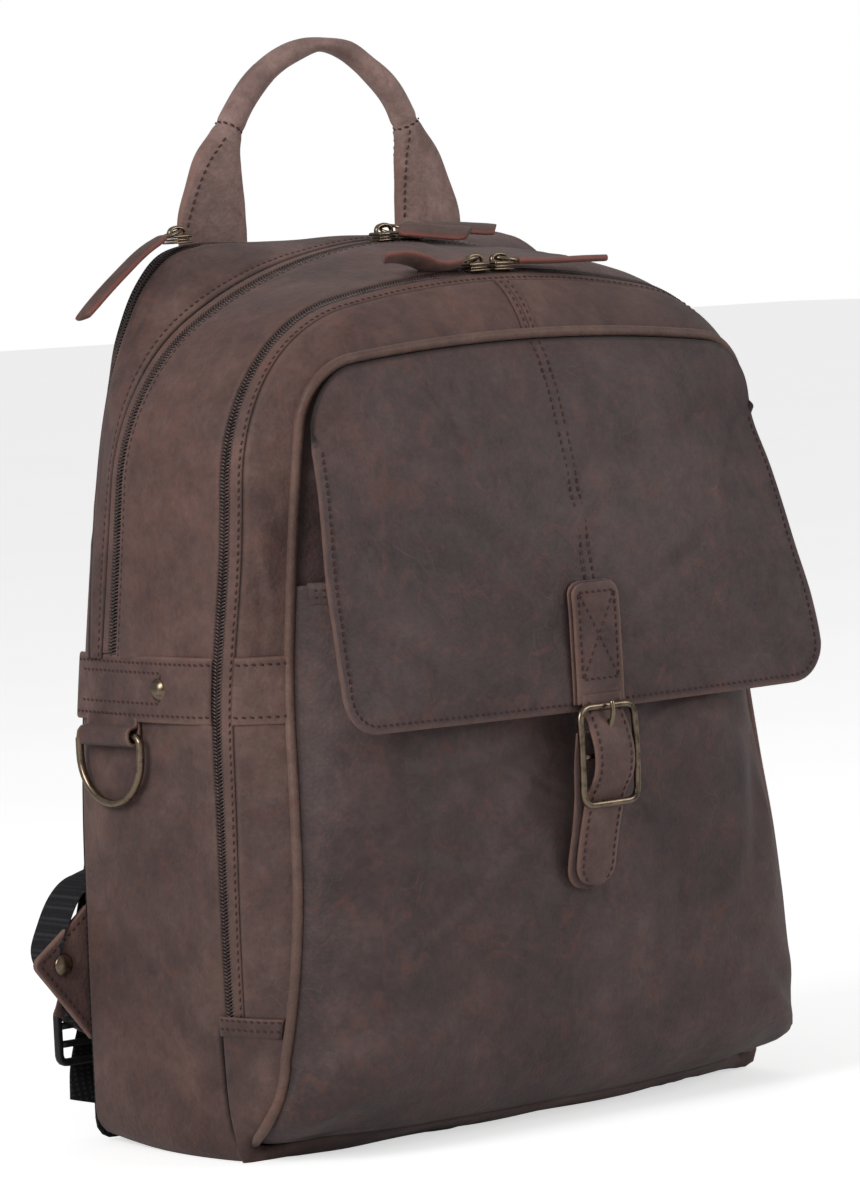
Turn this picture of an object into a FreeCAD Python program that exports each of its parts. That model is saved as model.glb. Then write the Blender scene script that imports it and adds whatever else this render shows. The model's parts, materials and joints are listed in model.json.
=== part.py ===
"""Leather backpack: one STEP file per physical piece, millimetres.

Frame: +X is the wearer's left hand seen from the front, -Y is the bag's front, +Z is up.
The origin is on the floor, under the middle of the bag.
A depth is a distance forward of the back panel's outer face, and HEIGHT is above the floor.
"""
import FreeCAD
import Part
import math
import os
from FreeCAD import Vector

os.makedirs("parts", exist_ok=True)

# ---------------------------------------------------------------- driving sizes
BACK_Y = 65.0             # the back panel's outer face
LEATHER = 1.8             # body leather
FLOOR_GAP = 2.2           # the body stands this far above the floor, on its bottom panel
ZIP_HALF = 5.5            # half the width of a zip opening
COIL_HALF = 2.6
CLEAR = 0.2               # between pieces that only lie against each other

# Each seam is an outline in a plane that may lean: depth = depth_at_floor + lean * height.
# It has a crowned top, two round shoulders, sides that can be drawn in, and round lower corners.
BACK = dict(top=385, crown=2000, wide_top=149, shoulder=58, wide_mid=152.2, wide_low=152,
            heel=28, depth=0.0, lean=0.0)
LAPTOP_ZIP = dict(top=386, crown=1500, wide_top=150, shoulder=60, wide_mid=151.6, wide_low=152,
                  heel=28, depth=13.0, lean=0.0)
MAIN_ZIP = dict(top=383, crown=215, wide_top=150, shoulder=80, wide_mid=151.2, wide_low=152,
                heel=28, depth=-2.0, lean=0.141)
FRONT_ZIP = dict(top=368, crown=450, wide_top=149, shoulder=75, wide_mid=149.3, wide_low=151,
                 heel=32, depth=90.0, lean=0.057)
PIPING = dict(top=340, crown=900, wide_top=126, shoulder=28, wide_mid=132, wide_low=146,
              heel=40, depth=122.0, lean=0.04)

MAIN_ZIP_END = 213.0      # the main zip stops at the side bands' top edge
FRONT_ZIP_END = 60.0      # the front zip stops at a cross seam
LAPTOP_ZIP_END = 335.0    # the laptop zip turns this far down the shoulders
GUSSET_SPLIT = 199.0      # upper and lower gussets meet behind the side bands
BAND_LOW, BAND_HIGH = 185.0, 213.0

PROUD_POCKET = 25.0       # how far the pocket and the flap's yoke stand forward of the piping
PROUD_YOKE = 20.0
POCKET_MOUTH = 242.0
FLAP_FOLD = 300.0         # height of the line the flap folds on
FLAP_FOLD_DEPTH = 155.0
FLAP_BOTTOM = 179.0
FLAP_LEATHER = 2.0

TAB_HALF = 13.5
STRAP_HALF = 11.0
BUCKLE_WIDE, BUCKLE_TALL, BUCKLE_WIRE = 37.0, 48.0, 4.0
BUCKLE_DEPTH = 174.0
BUCKLE_MID = 161.0

RING_RADIUS = 21.0
RING_WIRE = 1.9
RING_X, RING_Z, RING_DEPTH = 157.5, 178.5, 30.0
RING_DROP = 8.0
RIVET_R = 4.8

HANDLE_LEG_X = 65.0
HANDLE_JOINT_X = 52.0
HANDLE_JOINT_RISE = 52.0
HANDLE_RISE = 84.5        # centre line of the roll above the seat
HANDLE_TUBE = 6.5
HANDLE_CORE = 4.0
HANDLE_SEAT = 388.5
HANDLE_DEPTH = 4.0

SLIDER_LONG, SLIDER_WIDE, SLIDER_TALL = 11.0, 8.0, 2.6
PULL_PIVOT = 3.5          # above the slider's underside
PULL_LONG, PULL_WIDE, PULL_THICK = 46.0, 12.0, 2.4
LINK_LONG, LINK_WIDE, LINK_WIRE = 12.0, 8.0, 1.0
COIL_PROUD = 1.2
SLIDER_X = 7.0            # the two sliders of a pair meet at the middle
LAPTOP_SLIDER_X = 91.5

EXTENT = 600.0            # larger than the bag: for half-space cutters


# ---------------------------------------------------------------- helpers
def at(x, depth, z):
    """A point from a sideways place, a depth forward of the back face and a height."""
    return Vector(x, BACK_Y - depth, z)


def box(x0, x1, depth0, depth1, z0, z1):
    corner = at(x0, max(depth0, depth1), z0)
    return Part.makeBox(x1 - x0, abs(depth1 - depth0), z1 - z0, corner)


def above(z):
    return box(-EXTENT, EXTENT, -EXTENT, EXTENT, z, EXTENT)


def below(z):
    return box(-EXTENT, EXTENT, -EXTENT, EXTENT, -EXTENT, z)


def slab(z0, z1):
    return box(-EXTENT, EXTENT, -EXTENT, EXTENT, z0, z1)


def arc(a, b, c):
    return Part.Arc(a, b, c).toShape()


def line(a, b):
    return Part.makeLine(a, b)


def outline(seam, shift=0.0, inset=0.0, base=None):
    """The closed outline of a seam, moved forward by shift and drawn in by inset.

    With a base it is only the arch that stands above that height.
    """
    top = seam["top"] - inset
    low = FLOOR_GAP + inset
    crown = seam["crown"] - inset
    wide_top = seam["wide_top"] - inset
    wide_mid = seam["wide_mid"] - inset
    wide_low = seam["wide_low"] - inset
    shoulder = max(seam["shoulder"] - inset, 4.0)
    heel = max(seam["heel"] - inset, 4.0)

    def put(x, z):
        return at(x, seam["depth"] + seam["lean"] * z + shift, z)

    centre_z = top - crown
    corner_x = wide_top - shoulder
    corner_z = centre_z + math.sqrt((crown - shoulder) ** 2 - corner_x ** 2)
    crown_angle = math.asin(corner_x / (crown - shoulder))
    joint = (crown * math.sin(crown_angle), centre_z + crown * math.cos(crown_angle))
    half_way = crown_angle / 2
    crown_mid = (crown * math.sin(half_way), centre_z + crown * math.cos(half_way))
    shoulder_angle = math.radians(45) + crown_angle / 2
    shoulder_mid = (corner_x + shoulder * math.sin(shoulder_angle),
                    corner_z + shoulder * math.cos(shoulder_angle))
    side_mid_z = (corner_z + low + heel) / 2
    heel_bow = heel * (1 - math.sqrt(0.5))

    def lower_edges(side):
        if base is not None:
            return [line(put(0, base), put(side * wide_mid, base)),
                    line(put(side * wide_mid, base), put(side * wide_top, corner_z))]
        return [
            line(put(0, low), put(side * (wide_low - heel), low)),
            arc(put(side * (wide_low - heel), low),
                put(side * (wide_low - heel_bow), low + heel_bow),
                put(side * wide_low, low + heel)),
            arc(put(side * wide_low, low + heel),
                put(side * wide_mid, side_mid_z),
                put(side * wide_top, corner_z)),
        ]

    def half(side):
        return lower_edges(side) + [
            arc(put(side * wide_top, corner_z),
                put(side * shoulder_mid[0], shoulder_mid[1]),
                put(side * joint[0], joint[1])),
            arc(put(side * joint[0], joint[1]),
                put(side * crown_mid[0], crown_mid[1]),
                put(0, top)),
        ]

    right = half(1)
    left = half(-1)
    return Part.Wire(right + left[::-1])


def loft(wires, ruled=True):
    return Part.makeLoft(wires, True, ruled)


def sleeve(seam_a, shift_a, seam_b, shift_b, inset=0.0, thickness=LEATHER, base=None):
    """A ring of leather from one seam to another, or with a base only its upper arch."""
    outer = loft([outline(seam_a, shift_a, inset, base), outline(seam_b, shift_b, inset, base)])
    inner = loft([outline(seam_a, shift_a, inset + thickness, base),
                  outline(seam_b, shift_b, inset + thickness, base)])
    return outer.cut(inner)


def sheet(seam, shift, thickness, inset):
    """A flat panel in a seam's plane."""
    return loft([outline(seam, shift, inset), outline(seam, shift + thickness, inset)])


def domed(seam, proud, shift, thickness, steps):
    """A panel that rises from a seam: steps are pairs of inset and share of the rise."""
    outer = loft([outline(seam, shift + proud * share, inset) for inset, share in steps])
    inner = loft([outline(seam, shift + proud * share - thickness, inset + thickness / 2)
                  for inset, share in steps])
    return outer.cut(inner)


def prism(points, direction):
    wire = Part.makePolygon(points + [points[0]])
    return Part.Face(wire).extrude(direction)


def ribbon(path, thickness, x0, x1):
    """A strap that follows a path of (depth, height) points, between two sideways places."""
    offset = []
    for i in range(len(path)):
        before = path[max(i - 1, 0)]
        after = path[min(i + 1, len(path) - 1)]
        run = (after[0] - before[0], after[1] - before[1])
        length = math.hypot(*run)
        offset.append((path[i][0] + thickness * run[1] / length,
                       path[i][1] - thickness * run[0] / length))
    corners = [at(x0, depth, z) for depth, z in path + offset[::-1]]
    return prism(corners, Vector(x1 - x0, 0, 0))


def rounded_box(x0, x1, depth0, depth1, z0, z1, radius, along):
    """A box with its four edges along one axis rounded."""
    solid = box(x0, x1, depth0, depth1, z0, z1)
    edges = []
    for edge in solid.Edges:
        run = edge.Vertexes[1].Point - edge.Vertexes[0].Point
        if abs(run.dot(along)) > 0.99 * run.Length:
            edges.append(edge)
    return solid.makeFillet(radius, edges)


def turned(shape, centre, axis, degrees):
    moved = shape.copy()
    moved.rotate(centre, axis, degrees)
    return moved


def moved_to(shape, place):
    moved = shape.copy()
    moved.translate(place)
    return moved


def mirrored(shape):
    return shape.mirror(Vector(0, 0, 0), Vector(1, 0, 0))


def pair(shape):
    return Part.makeCompound([shape, mirrored(shape)])


def save(name, shape):
    solids = shape.Solids
    whole = solids[0] if len(solids) == 1 else Part.makeCompound(solids)
    whole.exportStep("parts/" + name + ".step")


AXIS_X = Vector(1, 0, 0)
AXIS_Y = Vector(0, 1, 0)
AXIS_Z = Vector(0, 0, 1)


# ---------------------------------------------------------------- the body of the bag
def build_body():
    save("back_panel", sheet(BACK, 0.0, 2.0, 0.0))
    save("back_foam", sheet(BACK, 2.2, 5.8, 6.0))

    save("back_welt", sleeve(BACK, 2.2, LAPTOP_ZIP, -4.2, base=GUSSET_SPLIT))

    rear = sleeve(LAPTOP_ZIP, 4.2, MAIN_ZIP, -ZIP_HALF, base=GUSSET_SPLIT)
    side_strip = sleeve(LAPTOP_ZIP, -4.0, LAPTOP_ZIP, 4.2, base=GUSSET_SPLIT)
    save("rear_gusset", rear.fuse(side_strip.common(below(LAPTOP_ZIP_END - CLEAR))))
    save("main_gusset", sleeve(MAIN_ZIP, ZIP_HALF, FRONT_ZIP, -ZIP_HALF, base=GUSSET_SPLIT))

    lower = sleeve(BACK, 2.2, FRONT_ZIP, -ZIP_HALF)
    save("lower_gusset", lower.common(below(GUSSET_SPLIT - CLEAR)))

    front = sleeve(FRONT_ZIP, ZIP_HALF, PIPING, -2.2)
    save("front_gusset", front.common(above(FRONT_ZIP_END)))
    base = sleeve(FRONT_ZIP, -ZIP_HALF + CLEAR, PIPING, -2.2)
    save("front_gusset_base", base.common(below(FRONT_ZIP_END - CLEAR)))

    save("piping", sleeve(PIPING, -2.0, PIPING, 2.0, inset=-2.0, thickness=4.0))

    divider = loft([outline(BACK, 24.0, 4.5), outline(BACK, 27.0, 4.5)])
    save("laptop_divider", divider.common(below(320.0)))
    save("compartment_divider", sheet(FRONT_ZIP, -8.0, 1.2, 3.4))
    save("front_panel", sheet(PIPING, -4.0, 1.6, 3.2))

    pocket_steps = [(4.2, 0.08), (16.0, 0.6), (46.0, 1.0)]
    pocket = domed(PIPING, PROUD_POCKET, 0.0, LEATHER, pocket_steps)
    save("pocket_panel", pocket.common(below(POCKET_MOUTH)))
    yoke_steps = [(4.2, 0.1), (12.0, 0.5), (41.0, 1.0)]
    yoke = domed(PIPING, PROUD_YOKE, 0.0, LEATHER, yoke_steps)
    save("flap_yoke", yoke.common(above(FLAP_FOLD + 2.0)))

    bottom = rounded_box(-124.0, 124.0, 6.0, 112.0, 0.0, 2.0, 16.0, AXIS_Z)
    save("bottom_panel", bottom)
    board = rounded_box(-118.0, 118.0, 29.0, 80.0, 4.4, 6.9, 12.0, AXIS_Z)
    save("base_board", board)

    bands = []
    rear_band = sleeve(BACK, 2.4, FRONT_ZIP, -ZIP_HALF, inset=-2.2, thickness=1.8)
    front_band = sleeve(FRONT_ZIP, ZIP_HALF, PIPING, -2.4, inset=-2.2, thickness=1.8)
    for band in (rear_band, front_band):
        bands += band.common(slab(BAND_LOW, BAND_HIGH)).Solids
    save("side_bands", Part.makeCompound(bands))


# ---------------------------------------------------------------- zips
def build_zips():
    spans = ((LAPTOP_ZIP, LAPTOP_ZIP_END, LAPTOP_ZIP_END, 4.0, GUSSET_SPLIT),
             (MAIN_ZIP, GUSSET_SPLIT + CLEAR, MAIN_ZIP_END + CLEAR, ZIP_HALF - CLEAR,
              GUSSET_SPLIT),
             (FRONT_ZIP, FRONT_ZIP_END + CLEAR, FRONT_ZIP_END + 2.0, ZIP_HALF - CLEAR, None))
    tapes = []
    coils = []
    for seam, tape_end, coil_end, half, base in spans:
        tape = sleeve(seam, -half, seam, half, inset=0.4, thickness=0.9, base=base)
        coil = sleeve(seam, -COIL_HALF, seam, COIL_HALF, inset=-COIL_PROUD,
                      thickness=COIL_PROUD + CLEAR, base=base)
        tapes += tape.common(above(tape_end)).Solids
        coils += coil.common(above(coil_end)).Solids
    save("zip_tapes", Part.makeCompound(tapes))
    save("zip_coils", Part.makeCompound(coils))


def slider_solid():
    """A slider whose underside is at the origin's height, with a bail for the pull's link."""
    body = Part.makeBox(SLIDER_LONG, SLIDER_WIDE, SLIDER_TALL,
                        Vector(-SLIDER_LONG / 2, -SLIDER_WIDE / 2, 0))
    uprights = [edge for edge in body.Edges
                if abs(edge.Vertexes[0].Point.z - edge.Vertexes[1].Point.z) > 1]
    body = body.makeFillet(2.0, uprights)
    bail = Part.makeBox(6.0, 1.6, 2.5, Vector(-3.0, -0.8, SLIDER_TALL))
    eye = Part.makeBox(3.0, 1.6, 1.6, Vector(-1.5, -0.8, SLIDER_TALL + 0.1))
    return body.fuse(bail.cut(eye))


def link_solid():
    """A wire frame whose near bar turns in the bail: the pivot is at the origin, +X outward."""
    half = LINK_WIRE / 2
    outer = Part.makeBox(LINK_LONG, LINK_WIDE, LINK_WIRE,
                         Vector(-half, -LINK_WIDE / 2, -half))
    inner = Part.makeBox(LINK_LONG - 2 * LINK_WIRE, LINK_WIDE - 2 * LINK_WIRE, LINK_WIRE,
                         Vector(half, -LINK_WIDE / 2 + LINK_WIRE, -half))
    return outer.cut(inner)


def pull_solid():
    """The leather tab that hangs on a link."""
    tab = Part.makeBox(PULL_LONG, PULL_WIDE, PULL_THICK,
                       Vector(LINK_LONG, -PULL_WIDE / 2, -PULL_THICK / 2))
    uprights = [edge for edge in tab.Edges
                if abs(edge.Vertexes[0].Point.z - edge.Vertexes[1].Point.z) > 1]
    return tab.makeFillet(3.0, uprights)


def build_slider(name, seam, x, turn_centre, facing, yaw, pitch):
    """A slider, its link and its pull. facing is 1 to the right and -1 to the left."""
    depth = seam["depth"] + seam["lean"] * seam["top"]
    under = seam["top"] + COIL_PROUD + CLEAR
    top_x = turn_centre[0]
    lean = math.degrees(math.asin((x - top_x) / (seam["top"] - turn_centre[1])))
    seat = at(top_x, depth, under)
    pivot = at(top_x, depth, under + PULL_PIVOT)
    swing = at(turn_centre[0], depth, turn_centre[1])

    body = moved_to(slider_solid(), seat)
    save(name + "_slider", turned(body, swing, AXIS_Y, lean))
    for suffix, shape in (("_link", link_solid()), ("_pull", pull_solid())):
        shape = turned(shape, Vector(0, 0, 0), AXIS_Y, -pitch)
        shape = turned(shape, Vector(0, 0, 0), AXIS_Z, yaw)
        if facing < 0:
            shape = turned(shape, Vector(0, 0, 0), AXIS_Z, 180)
        shape = moved_to(shape, pivot)
        save(name + suffix, turned(shape, swing, AXIS_Y, lean))


def build_sliders():
    laptop_centre = (-(LAPTOP_ZIP["wide_top"] - LAPTOP_ZIP["shoulder"]),
                     LAPTOP_ZIP["top"] - LAPTOP_ZIP["shoulder"])
    main_centre = (0.0, MAIN_ZIP["top"] - MAIN_ZIP["crown"])
    front_centre = (0.0, FRONT_ZIP["top"] - FRONT_ZIP["crown"])
    build_slider("laptop", LAPTOP_ZIP, -LAPTOP_SLIDER_X, laptop_centre, -1, 0, -3)
    build_slider("main_left", MAIN_ZIP, -SLIDER_X, main_centre, 1, -38, 7)
    build_slider("main_right", MAIN_ZIP, SLIDER_X, main_centre, 1, 8, 0)
    build_slider("front_left", FRONT_ZIP, -SLIDER_X, front_centre, -1, 0, 0)
    build_slider("front_right", FRONT_ZIP, SLIDER_X, front_centre, 1, 0, 0)


# ---------------------------------------------------------------- flap and closure
def bowed_strip(half_width, side_depth, middle_depth, z, thickness):
    """A thin section of the flap at one height: an arc seen from above."""
    outer = arc(at(-half_width, side_depth, z), at(0, middle_depth, z),
                at(half_width, side_depth, z))
    inner = arc(at(-half_width, side_depth - thickness, z), at(0, middle_depth - thickness, z),
                at(half_width, side_depth - thickness, z))
    left = line(inner.Vertexes[0].Point, outer.Vertexes[0].Point)
    right = line(outer.Vertexes[-1].Point, inner.Vertexes[-1].Point)
    return Part.Wire([left, outer, right, inner])


def flap_sheet(behind, thickness, margin):
    sections = ((FLAP_FOLD, 126.0, 139.5, 154.0),
                (240.0, 130.0, 153.0, 167.0),
                (FLAP_BOTTOM, 135.0, 165.0, 168.0))
    wires = [bowed_strip(half - margin, side - behind, middle - behind, z, thickness)
             for z, half, side, middle in sections]
    sheet_solid = loft(wires)
    low = FLAP_BOTTOM + margin
    corners = rounded_box(-135.5 + margin, 135.5 - margin, 100.0, 200.0, low, 420.0, 15.0, AXIS_Y)
    return sheet_solid.common(corners)


def build_flap():
    save("flap", flap_sheet(0.0, FLAP_LEATHER, 0.0))
    lining = flap_sheet(FLAP_LEATHER + CLEAR, 0.8, 4.0)
    save("flap_lining", lining.common(below(FLAP_FOLD - 4.0)))

    tab = rounded_box(-TAB_HALF, TAB_HALF, 168.4, 171.0, 185.5, 234.0, 6.0, AXIS_Y)
    save("flap_tab", tab)

    mid = BUCKLE_MID
    bar = BUCKLE_WIRE
    half_tall = BUCKLE_TALL / 2
    outer = rounded_box(-BUCKLE_WIDE / 2, BUCKLE_WIDE / 2, BUCKLE_DEPTH - bar / 2,
                        BUCKLE_DEPTH + bar / 2, mid - half_tall, mid + half_tall, 6.0, AXIS_Y)
    hole = box(-BUCKLE_WIDE / 2 + bar, BUCKLE_WIDE / 2 - bar, BUCKLE_DEPTH - bar,
               BUCKLE_DEPTH + bar, mid - half_tall + bar, mid + half_tall - bar)
    centre_bar = Part.makeCylinder(1.4, BUCKLE_WIDE - bar, at(-(BUCKLE_WIDE - bar) / 2,
                                   BUCKLE_DEPTH, mid), AXIS_X)
    save("buckle_frame", outer.cut(hole).fuse(centre_bar))

    path = [(170.8, mid + 24.0), (170.8, mid + 18.0), (176.4, mid + 8.0), (178.1, mid),
            (176.4, mid - 8.0), (169.8, mid - 18.0), (168.6, mid - 26.0), (160.4, mid - 54.0)]
    strap = ribbon(path, 2.2, -STRAP_HALF, STRAP_HALF)
    slot = box(-2.2, 2.2, 160.0, 190.0, mid - 5.0, mid + 17.0)
    tail = rounded_box(-STRAP_HALF, STRAP_HALF, 100.0, 200.0, mid - 53.0, 300.0, 9.0, AXIS_Y)
    save("closure_strap", strap.cut(slot).common(tail))

    under_path = [(170.8, mid), (166.2, mid - 14.0), (164.6, mid - 26.0), (157.4, mid - 56.0)]
    under = ribbon(under_path, 1.8, -STRAP_HALF - 1.5, STRAP_HALF + 1.5)
    save("under_strap", under)

    prong_path = [(174.6, mid - 1.0), (180.6, mid + 8.0), (179.6, mid + 26.0)]
    prong = ribbon(prong_path, 1.6, -1.2, 1.2)
    collar = Part.makeCylinder(2.6, 2.4, at(-1.2, BUCKLE_DEPTH, mid), AXIS_X)
    bore = Part.makeCylinder(1.46, 4.0, at(-2.0, BUCKLE_DEPTH, mid), AXIS_X)
    save("buckle_prong", prong.fuse(collar).cut(bore))

    stud = Part.makeCylinder(9.0, 3.6, at(0, 164.4, 196.0), AXIS_Y)
    save("snap_stud", stud)
    socket = Part.makeCylinder(9.0, 2.0, at(0, 159.2, 196.0), AXIS_Y)
    save("snap_socket", socket)


# ---------------------------------------------------------------- carrying parts
def build_handle():
    seat = HANDLE_SEAT
    joint_z = seat + HANDLE_JOINT_RISE
    top_z = seat + HANDLE_RISE
    curve = arc(at(-HANDLE_JOINT_X, HANDLE_DEPTH, joint_z), at(0, HANDLE_DEPTH, top_z),
                at(HANDLE_JOINT_X, HANDLE_DEPTH, joint_z))
    start = curve.Vertexes[0].Point
    tangent = curve.tangentAt(curve.FirstParameter)

    def tube(radius):
        ring = Part.Wire(Part.makeCircle(radius, start, tangent))
        return Part.Wire(curve).makePipeShell([ring], True, False)

    def section(x, z, width, depth_half):
        corners = [at(x - width / 2, HANDLE_DEPTH - depth_half, z),
                   at(x + width / 2, HANDLE_DEPTH - depth_half, z),
                   at(x + width / 2, HANDLE_DEPTH + depth_half, z),
                   at(x - width / 2, HANDLE_DEPTH + depth_half, z)]
        return Part.makePolygon(corners + [corners[0]])

    leg = loft([section(-HANDLE_LEG_X, seat, 38.0, 2.4),
                section(-HANDLE_LEG_X + 4.0, seat + 26.0, 26.0, 4.0),
                section(-HANDLE_JOINT_X, joint_z + 2.0, 13.0, 5.5)])
    leather = tube(HANDLE_TUBE).fuse([leg, mirrored(leg)]).cut(tube(HANDLE_CORE + 0.05))
    save("handle_leather", leather)
    save("handle_core", tube(HANDLE_CORE))


def ring_parts():
    """The left D-ring and the leather loop that its bar turns in."""
    centre = at(-RING_X, RING_DEPTH, RING_Z)
    low = centre - Vector(0, 0, RING_DROP)
    reach = RING_RADIUS

    def rod(a, b):
        return Part.makeCylinder(RING_WIRE, (b - a).Length, a, b - a)

    rear = Vector(0, reach, 0)
    ring = rod(centre - rear, centre + rear)
    ring = ring.fuse(rod(centre - rear, low - rear))
    ring = ring.fuse(rod(centre + rear, low + rear))
    for end in (centre - rear, centre + rear):
        ring = ring.fuse(Part.makeSphere(RING_WIRE, end))
    bow = Part.makeTorus(reach, RING_WIRE, low, AXIS_X)
    bow = bow.common(below(low.z))
    ring = ring.fuse(bow)

    length = 32.0
    rear_end = centre - Vector(0, length / 2, 0)
    loop = Part.makeCylinder(4.1, length, rear_end, AXIS_Y)
    loop = loop.fuse(box(-RING_X + 1.9, -RING_X + 4.0, RING_DEPTH - length / 2,
                         RING_DEPTH + length / 2, RING_Z, BAND_LOW - 0.1))
    bore = Part.makeCylinder(RING_WIRE + 0.08, length + 2, rear_end - Vector(0, 1, 0), AXIS_Y)
    return ring, loop.cut(bore)


def dome(radius, height, centre, axis):
    """A rivet head: a cap cut from a sphere."""
    sphere_r = (radius ** 2 + height ** 2) / (2 * height)
    ball = Part.makeSphere(sphere_r, centre - axis * (sphere_r - height))
    keep = Part.makeCylinder(radius + 1, height + 1, centre, axis)
    return ball.common(keep)


def build_hardware():
    ring, loop = ring_parts()
    save("d_ring_left", ring)
    save("d_ring_right", mirrored(ring))
    save("ring_loops", pair(loop))

    band_face = 153.6
    band_rivet = dome(RIVET_R, 2.4, at(-band_face, 63.0, 199.0), Vector(-1, 0, 0))
    anchor_rivet = dome(RIVET_R - 0.6, 2.2, at(-164.0, 0.0, 79.0), Vector(0, -1, 0))
    rivets = [band_rivet, anchor_rivet, mirrored(band_rivet), mirrored(anchor_rivet)]
    save("rivets", Part.makeCompound(rivets))


def build_straps():
    yoke = rounded_box(-82.0, 82.0, -1.9, -0.1, 342.0, 380.0, 8.0, AXIS_Y)
    save("strap_yoke", yoke)

    corners = [at(-149.0, -0.2, 103.0), at(-179.0, -0.2, 80.0), at(-150.0, -0.2, 45.0),
               at(-120.0, -0.2, 60.0), at(-120.0, -0.2, 90.0)]
    anchor = prism(corners, Vector(0, 2.0, 0))
    save("strap_anchors", pair(anchor))

    stations = ((45.0, 374.0, 8.0, 58.0), (58.0, 310.0, 20.0, 62.0), (78.0, 220.0, 30.0, 56.0),
                (104.0, 135.0, 26.0, 42.0), (136.0, 62.0, 16.0, 32.0))
    thick = 9.0

    def section(x, z, behind, width):
        near, far = -behind + thick / 2, -behind - thick / 2
        points = [at(-x - width / 2, near, z), at(-x + width / 2, near, z),
                  at(-x + width / 2, far, z), at(-x - width / 2, far, z)]
        return Part.makePolygon(points + [points[0]])

    strap = loft([section(*station) for station in stations])
    save("shoulder_strap_left", strap)
    save("shoulder_strap_right", mirrored(strap))

    lock = rounded_box(-157.0, -125.0, -18.0, -14.0, 36.0, 58.0, 3.0, AXIS_Y)
    for z in (40.0, 49.0):
        lock = lock.cut(box(-154.0, -128.0, -20.0, -12.0, z, z + 5.0))
    save("ladder_lock_left", lock)
    save("ladder_lock_right", mirrored(lock))

    run = [(-174.5, 84.0), (-169.0, 108.0), (-152.0, 128.0), (-130.0, 138.0)]
    back_run = [(x + 1.4, z - 1.0) for x, z in run]
    points = [at(x, -2.6, z) for x, z in run + back_run[::-1]]
    webbing = prism(points, Vector(0, 20.0, 0))
    save("webbing_left", webbing)
    save("webbing_right", mirrored(webbing))


build_body()
build_zips()
build_sliders()
build_flap()
build_handle()
build_hardware()
build_straps()
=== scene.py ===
"""The looks of a leather backpack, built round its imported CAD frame.

Lengths in this script are millimetres until a mesh is made. A depth is a distance forward of the
back panel. +X is to the right of someone who looks at the front, -Y is forward, +Z is up.
"""
import json
import math

import bmesh
import bpy
import numpy as np
from mathutils import Matrix, Vector


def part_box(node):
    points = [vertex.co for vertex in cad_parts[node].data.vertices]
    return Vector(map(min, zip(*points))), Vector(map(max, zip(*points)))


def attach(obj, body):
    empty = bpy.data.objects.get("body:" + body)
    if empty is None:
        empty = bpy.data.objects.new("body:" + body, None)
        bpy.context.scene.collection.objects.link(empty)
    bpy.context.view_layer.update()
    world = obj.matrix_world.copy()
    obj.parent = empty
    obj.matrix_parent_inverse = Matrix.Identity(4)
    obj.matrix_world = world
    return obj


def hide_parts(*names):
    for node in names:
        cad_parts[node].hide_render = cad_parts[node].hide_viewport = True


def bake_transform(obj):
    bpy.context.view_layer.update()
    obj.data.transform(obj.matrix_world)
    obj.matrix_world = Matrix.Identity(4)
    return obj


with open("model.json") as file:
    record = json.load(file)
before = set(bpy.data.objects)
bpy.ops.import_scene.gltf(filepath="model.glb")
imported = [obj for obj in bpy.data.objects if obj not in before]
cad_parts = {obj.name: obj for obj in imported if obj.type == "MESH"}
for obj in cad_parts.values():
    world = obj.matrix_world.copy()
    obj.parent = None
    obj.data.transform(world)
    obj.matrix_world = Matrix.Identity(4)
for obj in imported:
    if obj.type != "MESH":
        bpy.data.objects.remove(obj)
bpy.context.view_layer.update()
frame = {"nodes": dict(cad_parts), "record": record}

MM = 0.001
BACK_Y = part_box("back_panel")[1].y / MM
BAG_MIDDLE = (0, BACK_Y - 60, 200)

# ------------------------------------------------------------------ driving sizes
BAND_LOW, BAND_HIGH = 185.0, 213.0
CROSS_SEAM = 61.0
SIDE_LOW, SIDE_HIGH, SIDE_STEP = 45.0, 281.0, 2.0
COIL_HALF = 2.9           # half the width of a closed zip's teeth
COIL_PITCH, COIL_SLANT = 1.5, 1.15
ZIP_GAP = 1.85            # the leather edges cover the outer ends of the teeth
FACING = 4.6              # width of the leather strip beside the teeth
STITCH_IN = 3.3           # stitches run this far inside an edge
STITCH_PITCH, STITCH_LENGTH, STITCH_SLANT = 3.3, 2.35, 0.16
PIPING_R = 2.3
POCKET_MOUTH = 242.0
FLAP_FOLD, FLAP_STITCH_IN = 300.0, 3.6

# Each seam's half outline. It has its lowest height, heel radius and half width low down, and then
# either knots up to the top or a top, crown and shoulder radius, and half widths above and midway.
# right: how much fuller the right shoulder is. flare: how far the bottom corners stand out.
BACK = dict(right=0.04, wide_low=152, heel=9, low=1.2,
            upper=((151.3, 90), (150, 145), (147.5, 183), (144, 213), (138.5, 252), (132.5, 286),
                   (125.5, 318), (116.5, 347), (106.5, 365), (97, 377), (84, 382.8), (60, 382.8),
                   (30, 382.4), (0, 382.2)))
LAPTOP = dict(right=0.04, wide_low=152, heel=9, low=0.8,
              upper=((152.3, 90), (152.4, 145), (152.2, 183), (151, 213), (147, 252), (141.8, 286),
                     (134.5, 320), (124.5, 350), (112.5, 370), (99, 381.5), (84, 385.2),
                     (60, 385.3), (30, 384.6), (0, 384.3)))
MAIN = dict(top=383, crown=215, wide=(150, 151.2), wide_low=152, shoulder=80, heel=12, low=0.6)
FRONT = dict(top=368, crown=450, wide=(149, 149.4), wide_low=151, shoulder=75, heel=16, low=0.8)
PIPING = dict(top=340, crown=900, wide=(126, 131.5), wide_low=146, shoulder=28, heel=14, low=9,
              flare=3.5)


# ------------------------------------------------------------------ small maths
def smooth(a, b, x):
    """From 0 at a to 1 at b, with soft ends."""
    t = np.clip((np.asarray(x, float) - a) / (b - a), 0, 1)
    return t * t * (3 - 2 * t)


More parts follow.
